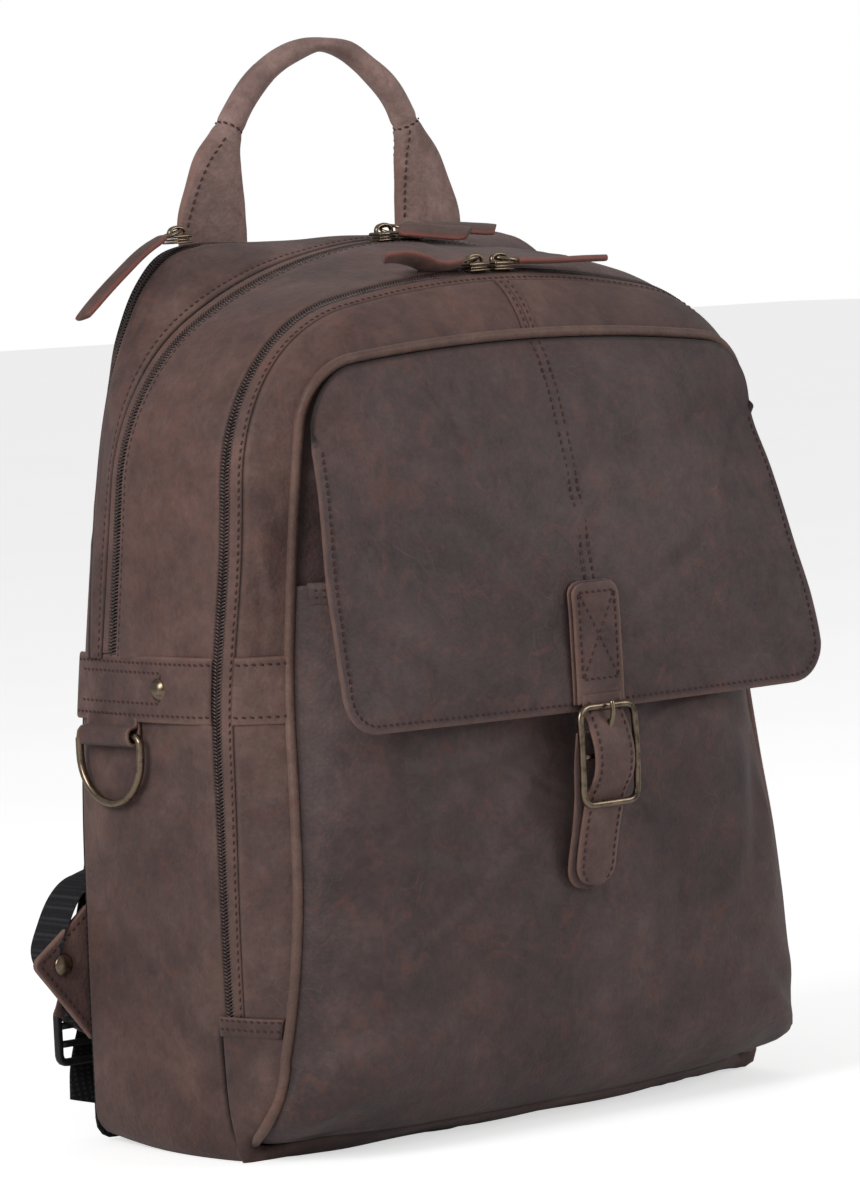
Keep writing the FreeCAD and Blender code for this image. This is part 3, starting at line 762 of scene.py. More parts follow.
def creases(p, n, count, seed, size=1.0):
    """Short soft creases scattered over a surface: the same ones on every run."""
    rng = np.random.default_rng(seed)
    flat = p.reshape(-1, 3)
    lift = np.zeros(len(flat))
    for _ in range(count):
        i, j = rng.integers(0, p.shape[0]), rng.integers(2, p.shape[1] - 2)
        normal = n[i, j]
        direction = rng.normal(size=3)
        direction = unit(direction - normal * (direction @ normal))
        bend = np.cross(normal, direction)
        length, width = rng.uniform(10, 34) * size, rng.uniform(1.8, 4.5) * size
        depth = rng.uniform(0.25, 0.75) * size
        rel = flat - p[i, j]
        along = rel @ direction
        off = rel @ bend - along ** 2 * rng.uniform(-0.012, 0.012)
        fade = np.exp(-(along / length) ** 2 - ((rel @ normal) / 25) ** 2)
        lift += depth * fade * (0.75 * np.exp(-((off - 1.5 * width) / width) ** 2)
                                - np.exp(-(off / width) ** 2))
    return lift.reshape(p.shape[:2])


def wrinkle(centre, direction, length, width, depth):
    """A crease: a dent along a line, faded at its ends, as a function for panel()."""
    centre = place(*centre)
    direction = unit(np.array(direction, float))

    def dent(p, *_):
        rel = p - centre
        along = rel @ direction
        off = np.linalg.norm(rel - along[..., None] * direction, axis=-1)
        fade = np.exp(-(along / length) ** 2)
        return -depth * fade * (np.exp(-(off / width) ** 2)
                                - 0.6 * np.exp(-((off - 1.7 * width) / width) ** 2))
    return dent


def together(*dents):
    """One dent from several."""
    return lambda p, s, w: sum(d(p, s, w) for d in dents)


def shifted(loop, forward, amount):
    """A seam moved forward over the surface, by one amount or one for each point."""
    return loop + forward * (np.asarray(amount)[:, None] if np.ndim(amount) else amount)


# the laptop zip's gap closes down the shoulders
LAPTOP_OPEN = smooth(322, 346, laptop[:, 2])
# the edge behind the front zip steps back where the zip ends
LOW_EDGE = -ZIP_GAP - FACING * smooth(63, 56, front[:, 2])


def build_body():
    """The leather panels of the sides and the top."""
    upper = arch(BAND_HIGH - 2)
    lap_gap = 0.4 + 3.6 * LAPTOP_OPEN
    panel("back_welt", back, shifted(laptop, laptop_fwd, -lap_gap), upper, BODY, 1.0,
          roll=(1.5, 1.5), stitch=(False, False), across_n=4, replaces=["back_welt"],
          wave=(0.2, 60))
    panel("rear_gusset", shifted(laptop, laptop_fwd, lap_gap),
          shifted(main, main_fwd, -ZIP_GAP - FACING), upper, BODY, 2.0, roll=(1.5, 1.4),
          stitch=(False, True), replaces=["rear_gusset"], seed=3, wave=(0.7, 60))
    panel("main_gusset", shifted(main, main_fwd, ZIP_GAP),
          shifted(front, front_fwd, LOW_EDGE), upper, BODY, 2.2, roll=(2.0, 3.0),
          stitch=(True, False), replaces=["main_gusset"], seed=5, wave=(0.9, 75),
          extra=together(wrinkle((-120, 70, 330), (0.5, 0.4, 0.7), 26, 3.0, 0.8),
                         wrinkle((60, 85, 374), (1, 0.2, 0), 30, 3.5, 0.6),
                         full_shoulder))
    panel("lower_gusset", back, shifted(front, front_fwd, LOW_EDGE), keel(BAND_LOW + 2), BODY,
          3.2, roll=(1.5, 3.0), stitch=(False, False), across_n=26, replaces=["lower_gusset"],
          seed=7, wave=(0.9, 85), extra=sag_base, crease=30)
    p, n = panel("front_gusset", shifted(front, front_fwd, ZIP_GAP + FACING + 1.4), piping,
                 arch(CROSS_SEAM), BODY, 2.4, roll=(1.2, 1.8), stitch=(False, False),
                 replaces=["front_gusset"], seed=9, wave=(0.7, 55), extra=over_top)
    mid = np.argmin(np.abs(p[:, 20, 0]) + 1000 * (p[:, 20, 2] < 300))
    seam_strips("top_seam", p[mid, 3:-2], n[mid, 3:-2])
    panel("front_gusset_base", shifted(front, front_fwd, -ZIP_GAP - FACING + 0.7), piping,
          keel(CROSS_SEAM), BODY, 2.8, roll=(2.4, 1.6), stitch=(False, False),
          replaces=["front_gusset_base"], seed=11, wave=(0.5, 40), across_n=16,
          worn_edge=(0.1, 0.1))


def seam_strips(name, path, up):
    """The two turned edges of a centre seam, side by side along a path, each with its stitches."""
    for side, which in ((-1, "left"), (1, "right")):
        shape, wear_and_shade, frame_ = strap_sheet(path + [side * 1.95, 0, 0] + up * 0.15,
                                          lambda t: 1.9 + 0 * t, 1.1, up.mean(0), len(path) * 2,
                                          crown=0.25)
        piece(name + "_" + which, *shape, BODY, slot="body_leather", wear_and_shade=wear_and_shade * 0.12)
        Stitches.add(*edge_run(frame_, 1.7, 1.5, 1, 1))


def full_shoulder(p, s, w):
    """The right shoulder of the bag stands a little fuller than the left."""
    inside = smooth(0, 14, s) * smooth(0, 14, w - s)
    return 3.2 * smooth(15, 75, p[..., 0]) * smooth(280, 345, p[..., 2]) * inside


def sag_base(p, *_):
    """The base panel makes room for the flat bottom panel."""
    return -2.4 * smooth(14, 4, p[..., 2])


def over_top(p, *_):
    """The centre seam's ridge, where the top gusset is pieced."""
    return 0.35 * np.exp(-(p[..., 0] / 1.6) ** 2) * (p[..., 2] > 300)


# ------------------------------------------------------------------ zips
def teeth(path, forward, out, lift):
    """Both rows of a closed coil, as slanted capsules that meet at the middle."""
    along = lengths(path)
    count = int(along[-1] / COIL_PITCH)
    parts = []
    for side, start in ((-1, 0.7), (1, 0.3)):
        s = (np.arange(count) + start) * along[-1] / count
        f = unit(sample(s, along, forward)) * side
        n = unit(sample(s, along, out))
        template = capsule([(COIL_HALF * (1 - u) - 0.35 * u + size * 0.1, u * COIL_SLANT,
                             size, rise)
                            for u, size, rise in ((0.0, 0.6, -0.5), (0.2, 1.0, 0.0),
                                                  (0.75, 1.15, 0.25), (1.0, 0.7, 0.1))],
                           (0.55, 0.62), lift)
        parts.append(copies(template, sample(s, along, path), f, np.cross(f, n) * side, n))
    return parts


def strip(path, forward, out, near, far, rise, thick, bow=0.25, steps=7):
    """A flat strip beside a path, from near to far along forward."""
    v = np.linspace(0, 1, steps)
    off = near + (far - near) * v
    arch_up = bow * (1 - (2 * v - 1) ** 4)
    top = (path[:, None] + forward[:, None] * off[None, :, None]
           + out[:, None] * (rise + arch_up)[None, :, None])
    low = (path[:, None] + forward[:, None] * off[None, ::-1, None]
           + out[:, None] * (rise - thick))
    p = np.concatenate([top, low], 1)
    return p.reshape(-1, 3), tube_faces(*p.shape[:2])


def build_zips():
    """Tape and teeth of the three zips, and the leather strips folded beside two of them."""
    tapes, coils, facings = [], [], []
    far = ZIP_GAP + FACING + 1.2
    for loop, fwd, out, index, lift, facing in (
            (main, main_fwd, main_out, arch(BAND_HIGH), -0.3, (0.2 - ZIP_GAP - FACING,
                                                               0.3 - ZIP_GAP, -0.2)),
            (front, front_fwd, front_out, arch(CROSS_SEAM), -0.3, (ZIP_GAP - 0.3, far, -0.1)),
            (laptop, laptop_fwd, laptop_out, np.nonzero(LAPTOP_OPEN > 0.02)[0], -0.6, None)):
        path, f, n = loop[index], fwd[index], out[index]
        tapes.append(strip(path, f, n, -5.2, 5.2, lift - 1.0, 0.5, bow=0.0))
        rows = np.arange(len(path))
        twice = np.linspace(0, len(path) - 1, len(path) * 2)
        coils += teeth(spaced(path, len(twice)), unit(sample(twice, rows, f)),
                       unit(sample(twice, rows, n)), lift)
        if facing:
            facings.append(strip(path, f, n, *facing, 1.3))
        if loop is front:
            Stitches.add(path + f * (far - 1.3) + n * 0.1, n)
    piece("zip_tapes", *join(tapes), TAPE, replaces=["zip_tapes"], slot="zip_tape")
    piece("zip_coils", *join(coils), COIL, replaces=["zip_coils"], slot="zip_coil")
    verts, faces = join(facings)
    piece("zip_facings", verts, faces, BODY, slot="body_leather",
          wear_and_shade=np.full(len(verts), 0.25))


# ------------------------------------------------------------------ bands, piping, pocket
def rail(line, rows):
    """The points of a seam's right side at the heights in rows."""
    points = sample(rows, line[:, 2], line)
    points[:, 2] = rows
    return points


def spread(a, b, v):
    """A grid of points from line a to line b, at the shares v."""
    return a[:, None] * (1 - v[None, :, None]) + b[:, None] * v[None, :, None]


def build_bands():
    """The side bands: behind the front zip, where the ring loop is sewn in, and in front of it."""
    rows = np.array([BAND_LOW - 0.2, BAND_LOW + 0.4, BAND_LOW + 1.6, BAND_LOW + 3.0, BAND_LOW + 6,
                     BAND_LOW + 14, BAND_HIGH - 6, BAND_HIGH - 3.0, BAND_HIGH - 1.6,
                     BAND_HIGH - 0.4, BAND_HIGH + 0.2])
    from_edge = np.minimum(rows - rows[0], rows[-1] - rows)[:, None]
    sides = slice(at_height(BAND_LOW - 4), at_height(BAND_HIGH + 4) + 1)
    for side, hand in ((1, "right"), (-1, "left")):
        for where, a, b, puff, n_across in (
                ("rear_", back, shifted(front, front_fwd, -ZIP_GAP - 0.5), 3.0, 44),
                ("front_", shifted(front, front_fwd, ZIP_GAP + FACING + 1.3), piping, 2.4, 16)):
            rear = where == "rear_"
            a, b = rail(a[sides], rows), rail(b[sides], rows)
            v = np.linspace(0.0, 1.0, n_across)
            width = np.linalg.norm(b - a, axis=1)[:, None]
            lift = puff * np.minimum(1, width / 30) * (4 * v * (1 - v))[None] ** 0.7 + 1.9
            lift = lift + 0.5 * np.exp(-v[None] / 0.06)
            n = np.array([1.0, 0, 0])
            if rear:
                lift = lift + 0.8 - 1.9 * smooth(0.90, 1.0, v)[None]
            else:
                n = unit(np.cross(unit(b - a), [0, 0, 1.0]))[:, None]
                n = n * np.sign(n[..., :1])
            lift = lift - 0.9 * np.clip(1 - from_edge / 1.2, 0, 1) ** 2
            p = (spread(a, b, v) + n * lift[..., None]) * [side, 1, 1]
            wear_and_shade = np.broadcast_to(np.exp(-(from_edge / 1.2) ** 2), p.shape[:2])
            first = rear and side > 0
            piece("side_band_" + where + hand, p.reshape(-1, 3), grid_faces(*p.shape[:2]), TRIM,
                  thick=1.5, slot="body_leather", wear_and_shade=wear_and_shade, outside=BAG_MIDDLE,
                  replaces=["side_bands"] if first else ())
            for row in (3, -4):
                Stitches.add(p[row], [side, 0, 0] if rear else n[3, 0] * [side, 1, 1], lift=0.05)
            if rear:
                inner_stitches(p, rows, side)


def inner_stitches(p, rows, side):
    """The ring loop's tail is sewn through the band: two rows that end at the rivet."""
    stop = np.argmax(BACK_Y - p[5, :, 1] > 63.0)
    for z, toward in ((BAND_LOW + 8.0, 1), (BAND_HIGH - 7.0, -1)):
        run = np.stack([sample([z], rows, p[:, j])[0] for j in range(2, stop + 1)])
        run[:, 2] = z
        tail = run[-1] + np.outer(np.linspace(0, 3.4, 4), [0, 0, toward])
        for part in (run, tail):
            Stitches.add(part, [side, 0, 0], lift=0.05)


def build_cross_seam():
    """The stitched lap where the front zip ends, on each side."""
    rows = np.array([53.6, 54.0, 55.2, 57.0, 59.0, 60.8, 61.8, 62.2])
    rise = np.array([0.3, 0.9, 1.25, 1.15, 1.3, 1.25, 1.0, 0.2])
    sides = slice(at_height(46), at_height(80))
    v = np.linspace(0.02, 0.93, 20)
    for side, name in ((1, "right"), (-1, "left")):
        a = rail(shifted(front, front_fwd, -ZIP_GAP - FACING + 0.6)[sides], rows)
        b = rail(piping[sides], rows)
        n = unit(np.cross(unit(b - a), [0, 0, 1.0]))[:, None]
        n = n * np.sign(n[..., :1])
        lift = 2.6 * (4 * v * (1 - v))[None] ** 0.7 + rise[:, None]
        p = (spread(a, b, v) + n * lift[..., None]) * [side, 1, 1]
        wear_and_shade = np.broadcast_to(np.exp(-((rows - 62) / 0.9) ** 2)[:, None], p.shape[:2])
        piece("cross_seam_" + name, p.reshape(-1, 3), grid_faces(*p.shape[:2]), BODY, thick=1.0,
              slot="body_leather", wear_and_shade=wear_and_shade, outside=BAG_MIDDLE)
        for row in (3, 5):
            Stitches.add(p[row], n[row, 0] * [side, 1, 1], lift=0.05)


def build_dividers():
    """Plain inner walls: the laptop divider and the divider between the two compartments."""
    for name, node_, loop, depth, scale in (
            ("laptop_wall", "laptop_divider", laptop, 24.0, 0.965),
            ("compartment_wall", "compartment_divider", front, 99.0, 0.97)):
        x = loop[::3, 0] * scale
        z = 12 + (loop[::3, 2] - 1) * (scale - 0.04)
        p = np.stack([place(x * t, depth + 0.5 * np.sin(x * t / 30), 180 + (z - 180) * t)
                      for t in (1.0, 0.97, 0.8, 0.6, 0.4, 0.2, 0.02)], 1)
        piece(name, p.reshape(-1, 3), grid_faces(*p.shape[:2], True), LINING, thick=1.2,
              replaces=[node_], slot="lining", outside=BAG_MIDDLE)


def build_piping():
    """The corded edge of the front, from one bottom corner over the top to the other."""
    i = int(N_LOW * 0.80)
    index = np.arange(i, LOOP - i + 1) % LOOP
    path = piping[index]
    up = unit(outward(path, [0, -1.0, 0], False) + [0, -0.75, 0])
    verts, faces = sweep(path + up * 0.9, circle(PIPING_R, 14), up)
    piece("piping", verts, faces, PIPE, replaces=["piping"], slot="trim_leather",
          wear_and_shade=np.full(len(verts), 0.15))


def pocket_depth(x, z):
    """Depth of the front pocket before it bellies."""
    return 157.0 - 5.0 * ((z - 130) / 120) ** 2 + ripple(place(x, 0, z), 80, 0.8, 21)


POCKET_MIDDLE = (0, BACK_Y - 60, 150)
RING_SHARES = np.concatenate([[0, 0.004, 0.009, 0.016, 0.026, 0.038, 0.052, 0.07, 0.09],
                              np.linspace(0.115, 0.985, 38)])


def belly_depth(xz, belly, top_depth, behind=0.0):
    """Depth of a soft belly over (x, z) points inside the piping, and how far in they are."""
    flat = piping[:, [0, 2]]
    edge_depth = BACK_Y - piping[:, 1]
    distance = np.linalg.norm(xz[:, None] - flat[None], axis=2)
    nearest = distance.min(1)
    weight = np.exp(-(distance - nearest[:, None]) / (0.4 + 0.3 * nearest[:, None]))
    edge = (weight * edge_depth[None]).sum(1) / weight.sum(1)
    x, z = xz[:, 0], xz[:, 1]
    slack = 48 * smooth(50, 120, x) * smooth(80, 185, z)
    near = np.clip(nearest / (belly + slack), 0, 1)
    rise = (1 - (1 - near) ** 2.5) ** 0.75
    return edge + (top_depth(x, z) - edge) * rise - behind * np.clip(nearest / 4.0, 0, 1), nearest


def bellied(shares, belly, top_depth, behind=0.0):
    """Rings drawn in from the piping, raised into a soft belly away from the seam."""
    flat = piping[:, [0, 2]]
    xz = flat[:, None] + (np.array([0.0, 140.0]) - flat)[:, None] * shares[None, :, None]
    shape = xz.shape[:2]
    xz = xz.reshape(-1, 2)
    d, nearest = belly_depth(xz, belly, top_depth, behind)
    return place(xz[:, 0], d, xz[:, 1]).reshape(*shape, 3), nearest.reshape(shape)


def cut_above(obj, height):
    """Takes off all of a mesh above a height."""
    bm = bmesh.new()
    bm.from_mesh(obj.data)
    bmesh.ops.remove_doubles(bm, verts=bm.verts, dist=0.00002)
    bmesh.ops.bisect_plane(bm, geom=bm.verts[:] + bm.edges[:] + bm.faces[:],
                           plane_co=(0, 0, height * MM), plane_no=(0, 0, 1),
                           clear_outer=True, clear_inner=False)
    bm.to_mesh(obj.data)
    bm.free()


def build_pocket():
    """The bellied pocket, cut at its mouth, and the panel behind it."""
    p, nearest = bellied(RING_SHARES, 46.0, pocket_depth)
    for centre, direction, length, width, depth in (
            ((-118, 150, 36), (1, 0, 0.55), 30, 6, 1.6), ((-95, 150, 62), (1, 0, 0.25), 40, 8, 1.1),
            ((118, 150, 50), (1, 0, -0.9), 26, 6, 2.2), ((108, 155, 120), (0.3, 0, 1), 50, 8, 2.0),
            ((-112, 150, 170), (0.1, 0, 1), 50, 9, 0.9)):
        p[..., 1] -= wrinkle(centre, direction, length, width, depth)(
            p * [1, 0, 1] + [0, BACK_Y - centre[1], 0])
    n = away(normals(p), p, POCKET_MIDDLE)
    p = p + n * (creases(p, n, 34, 300, 1.5) * smooth(2, 14, nearest))[..., None]
    # painted shade: the colour goes near black in a thin line along the piping seam
    wear_and_shade = -0.9 * np.exp(-(nearest / 0.9) ** 2)
    obj = piece("pocket_panel", p.reshape(-1, 3), disc_faces(LOOP, p.shape[1]), FACE,
                thick=1.6, body=None, replaces=["pocket_panel"], slot="front_leather", wear_and_shade=wear_and_shade,
                outside=POCKET_MIDDLE)
    cut_above(obj, POCKET_MOUTH)
    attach(obj, "bag")
    x = np.linspace(-125, 125, 120)
    d, _ = belly_depth(np.stack([x, 0 * x + POCKET_MOUTH - 1], 1), 46.0, pocket_depth)
    shape, wear_and_shade, frame_ = strap_sheet(place(x, d - 0.2, POCKET_MOUTH - 3.5),
                                      lambda t: 4.6 + 0 * t, 3.0, (0, -1, 0), 120)
    piece("pocket_rim", *shape, FACE, slot="front_leather", wear_and_shade=wear_and_shade * 0.5)
    for which in (1, -1):
        Stitches.add(*edge_run(frame_, 3.2, 3.2, which, 1))
    p, _ = bellied(RING_SHARES[::2], 60.0, lambda x, z: 141.0 + 0 * x, 2.2)
    piece("front_wall", p.reshape(-1, 3), disc_faces(LOOP, p.shape[1]), FACE, thick=1.4,
          replaces=["front_panel"], slot="lining", outside=POCKET_MIDDLE)


# ------------------------------------------------------------------ flap
FLAP_MIDDLE = [(172, 167.6), (182, 168.2), (210, 168.4), (234, 167.4), (252, 165), (273.5, 160.8),
               (299, 154.5), (320, 147.8), (330, 143.6), (337, 139.3), (342, 136.4)]
FLAP_SAG = [(172, 1.0), (196, 1.5), (216, 5.5), (237, 10.5), (278, 12.5), (300, 14), (320, 8.5),
            (335, 4), (342, 0.5)]
FLAP_HALF = [(172, 137), (192, 137.5), (210, 137.3), (239, 134.5), (273, 129.9), (300, 126.4),
             (308, 126.05), (342, 126)]


def flap_depth(x, z):
    """Depth of the flap's outer face, with the ridge of its centre seam above the tab."""
    share = np.abs(x) / curve(z, FLAP_HALF)
    d = curve(z, FLAP_MIDDLE) - curve(z, FLAP_SAG) * np.clip(share, 0, 1.1) ** 2.6
    seam_ridge = 0.45 * np.exp(-(x / 3.4) ** 2) - 0.8 * np.exp(-(x / 0.55) ** 2)
    seam_ridge = seam_ridge * smooth(228, 236, z)
    return d + seam_ridge + ripple(place(x, 0, z), 90, 0.7, 31) * smooth(342, 320, z)


def flap_edges():
    """The flap's four sides in (x, z): the piping arch, two free edges, the bottom edge."""
    i = at_height(281) + 6
    j = np.arange(i, LOOP - i + 1)
    top = piping[j][:, [0, 2]] - [0, 1.2]
    top = spaced(top[top[:, 1] > FLAP_FOLD], 150)
    z = np.linspace(top[0, 1], 196, 60)
    side = np.stack([curve(z, FLAP_HALF), z], 1)
    radius, low, w = 17.0, 180.5, 137.4
    a = np.linspace(0, math.pi / 2, 14)
    corner = np.stack([w - radius + radius * np.cos(a), low + radius - radius * np.sin(a)], 1)
    half = np.concatenate([corner, [[0, low - 0.8]]])
    bottom = np.concatenate([half, half[-2::-1] * [-1, 1]])
    bottom = spaced(bottom, 150)
    bottom[0] = side[-1]
    bottom[-1] = side[-1] * [-1, 1]
    return top, side, bottom


def build_flap():
    """The flap, sewn in at the piping and free below the fold, with its stitches."""
    top, side, bottom = flap_edges()
    n, m = 150, 60
    u = np.linspace(0, 1, n)[:, None, None]
    v = np.linspace(0, 1, m)[None, :, None]
    # the sheet is spread between its four edges with its width scaled to one, so that it can't fold
    arch_, sheet_side, low_edge = [e / np.stack([curve(e[:, 1], FLAP_HALF), 1 + 0 * e[:, 1]], 1)
                                   for e in (top, side, bottom)]
    left, right = sheet_side[None] * [-1, 1], sheet_side[None]
    p = ((1 - v) * arch_[:, None] + v * low_edge[:, None] + (1 - u) * right + u * left
         - ((1 - u) * (1 - v) * arch_[0] + u * (1 - v) * arch_[-1] + (1 - u) * v * low_edge[0]
            + u * v * low_edge[-1]))
    half = curve(p[..., 1], FLAP_HALF)
    half = half - np.clip(p[..., 0], 0, 1) ** 4 * np.exp(-((p[..., 1] - 280) / 30) ** 2)
    p[..., 0] *= half
    x, z = p[..., 0], p[..., 1]
    q = place(x, flap_depth(x, z), z)
    from_rim, from_seam = [np.linalg.norm(p.reshape(-1, 1, 2) - line[None], axis=2).min(1)
                           .reshape(n, m)
                           for line in (np.concatenate([side, bottom, side * [-1, 1]]), top)]
    free = z < FLAP_FOLD
    # pale rubbed rim below the fold, which is wear, and painted shade as a dark line along the seam
    # at the piping
    wear_and_shade = 0.7 * np.exp(-(from_rim / 0.8) ** 2) * free - 0.9 * np.exp(-from_seam ** 2)
    up = away(normals(q), q, BAG_MIDDLE)
    inside = smooth(3, 20, np.minimum(from_rim, from_seam))
    q = q + up * (creases(q, up, 26, 500, 1.5) * inside)[..., None]
    q[..., 1] += 0.30 * np.exp(-(from_rim - FLAP_STITCH_IN) ** 2) * free
    obj = piece("flap", q.reshape(-1, 3), grid_faces(n, m), FACE, body=None, thick=2.6,
                replaces=["flap", "flap_yoke", "flap_lining"], slot="front_leather", wear_and_shade=wear_and_shade,
                outside=BAG_MIDDLE)
    subdivide(obj, 1)
    place(0, 150, FLAP_FOLD + 8) * MM
    place(0, 150, FLAP_FOLD - 10) * MM
    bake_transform(obj)
    run = spaced(np.concatenate([side[2:-1], bottom, side[-2:1:-1] * [-1, 1]]), 400)
    t = tangents(run)
    inward = np.stack([-t[:, 1], t[:, 0]], 1)
    inward = inward * np.sign(np.sum(inward * (np.array([0, 240]) - run)))
    x, z = (run + inward * FLAP_STITCH_IN).T
    Stitches.add(place(x, flap_depth(x, z), z), [0, -1.0, 0.15], "flap")
    for x in (-2.3, 2.3):
        for z, lean, body in ((np.linspace(338, FLAP_FOLD + 1, 30), 0.3, "bag"),
                              (np.linspace(FLAP_FOLD - 1, 235, 50), 0.2, "flap")):
            Stitches.add(place(x, flap_depth(x + 0 * z, z), z), [0, -1.0, lean], body, lift=0.05)


def subdivide(obj, levels):
    """A subdivision modifier."""
    s = obj.modifiers.new("subdivision", "SUBSURF")
    s.levels = levels
    s.render_levels = levels


# ------------------------------------------------------------------ flat leather and webbing
def strap_sheet(path, half, thick, up, stations=80, crown=0.3, sections=9):
    """A strap along a traced path. half(t) is its half width at t, 0 to 1 along it.

    Returns its (points, faces), how near each point is to an edge, and a frame for edge_run().
    """
    line_ = traced(path, stations)
    t = np.linspace(0, 1, stations)
    tangent = unit(np.gradient(line_, axis=0))
    up = np.asarray(up, float)
    normal = unit(up - tangent * np.sum(up * tangent, 1, keepdims=True))
    side = np.cross(tangent, normal)
    w = half(t)
    s = np.sin(np.linspace(-1, 1, sections) * math.pi / 2)
    ring = [(v, 0.5 * thick * (1 - abs(v) ** 6 * 0.75) + crown * (1 - v * v)) for v in s]
    ring += [(v, -0.5 * thick * (1 - abs(v) ** 6 * 0.75)) for v in s[::-1]]
    ring = np.array(ring)
    p = (line_[:, None] + side[:, None] * (ring[None, :, :1] * w[:, None, None])
         + normal[:, None] * ring[None, :, 1:])
    edge = np.exp(-((1 - np.abs(ring[:, 0])) * w[:, None] / 1.2) ** 2)
    return (p.reshape(-1, 3), tube_faces(*p.shape[:2])), edge.ravel(), (line_, side, normal, w)


def edge_run(frame_, inset, thick, which=1.0, skip=0):
    """A line for stitches inside one edge of a strap, and its normals."""
    line_, side, normal, w = frame_
    keep = slice(skip, len(line_) - skip)
    return ((line_ + side * ((w - inset) * which)[:, None] + normal * thick / 2)[keep],
            normal[keep])


def leather_plate(name, outline_, normal, thick, mat, **kw):
    """A flat piece with a rounded rim, from a closed outline.

    Returns a line inside the rim for stitches, and the inward directions along it.
    """
    n = len(outline_)
    middle = outline_.mean(0)
    normal = np.asarray(normal, float)
    t = tangents(outline_, True)
    inward = unit(np.cross(normal, t))
    if np.sum(inward * (middle - outline_)) < 0:
        inward = -inward
    rings, wear_and_shade = [], []
    for inset, rise in ((0.25, -1.0), (0.0, -0.6), (0.0, 0.35), (0.35, 0.85), (1.0, 1.0),
                        (2.6, 0.86), (4.5, 1.0)):
        rings.append(outline_ + inward * inset + normal * rise * thick / 2)
        wear_and_shade.append(np.full(n, math.exp(-(inset / 1.1) ** 2)))
    for share in (0.45, 0.75, 0.97):
        last = rings[6]
        rings.append(last + (middle + normal * thick / 2 - last) * share)
        wear_and_shade.append(np.zeros(n))
    p = np.stack(rings, 1)
    p = p + normal * (ripple(p, 26, 0.12, 77) * (np.arange(10) > 3))[..., None]
    faces = disc_faces(n, 10)
    faces.insert(-1, tuple(i * 10 for i in range(n)))
    piece(name, p.reshape(-1, 3), faces, mat, wear_and_shade=np.stack(wear_and_shade, 1), **kw)
    return p[:, 5], inward


def rounded_outline(corners, radius):
    """A closed outline of (a, b) points with rounded corners."""
    corners = np.array(corners, float)
    n = len(corners)
    radius = np.broadcast_to(np.asarray(radius, float), (n,))
    out = []
    for i in range(n):
        here, before, after = corners[i], corners[i - 1], corners[(i + 1) % n]
        u, v = unit(before - here), unit(after - here)
        half = math.acos(np.clip(u @ v, -1, 1)) / 2
        reach = min(radius[i] / math.tan(half), 0.48 * np.linalg.norm(before - here),
                    0.48 * np.linalg.norm(after - here))
        a, b = here + u * reach, here + v * reach
        for k in range(9):
            t = k / 8
            out.append(a * (1 - t) ** 2 + here * 2 * t * (1 - t) + b * t * t)
    out = np.array(out)
    closed = np.concatenate([out, out[:1]])
    length = np.linalg.norm(np.diff(closed, axis=0), axis=1).sum()
    return spaced(closed, max(int(length / 1.5), 24) + 1)[:-1]


def ball_cap(centre, axis, radius, height):
    """A rivet head with a small rim."""
    axis = unit(np.array(axis, float))
    a = unit(np.cross(axis, [0.3, 0.2, 0.9]))
    b = np.cross(axis, a)
    rings = [(1.0, -0.25), (1.04, 0.0), (1.0, 0.18), (0.93, 0.30), (0.80, 0.52), (0.62, 0.74),
             (0.42, 0.89), (0.2, 0.98), (0.03, 1.0)]
    ang = np.linspace(0, 2 * math.pi, 24, endpoint=False)
    p = np.array([[np.asarray(centre) + (a * math.cos(t) + b * math.sin(t)) * r * radius
                   + axis * h * height for r, h in rings] for t in ang])
    m = len(rings)
    faces = disc_faces(24, m)
    faces.insert(-1, tuple(i * m for i in range(24)))
    return p.reshape(-1, 3), faces


def block(size, bevel, at_, axes):
    """A bevelled block: size along the three given axes, centred at at_."""
    bm = bmesh.new()
    bmesh.ops.create_cube(bm, size=1.0)
    for v in bm.verts:
        v.co = Vector((v.co.x * size[0], v.co.y * size[1], v.co.z * size[2]))
    bmesh.ops.bevel(bm, geom=bm.edges[:], offset=bevel, segments=2, profile=0.5,
                    affect="EDGES")
    verts = np.array([v.co[:] for v in bm.verts])
    faces = [tuple(v.index for v in f.verts) for f in bm.faces]
    bm.free()
    return np.asarray(at_, float) + verts @ np.asarray(axes, float), faces


def wire(path, radius, up=(0, 0, 1), closed=False, sides=10, flat=1.0):
    """A round bar along a path; flat squashes its section in the outward direction."""
    return sweep(np.asarray(path, float), circle(radius, sides) * [1.0, flat], up, closed)


# ------------------------------------------------------------------ sliders and pulls
def slider_frame(top, depth, centre_x, centre_z, x):
    """Where a slider sits on its zip: its underside's middle, and its right and up directions."""
    lean = math.asin((x - centre_x) / (top - centre_z))
    reach = top + 1.4 - centre_z
    up = np.array([math.sin(lean), 0.0, math.cos(lean)])
    right = np.array([math.cos(lean), 0.0, -math.sin(lean)])
    seat = np.array([centre_x, BACK_Y - depth, centre_z]) + up * reach
    return seat, right, up


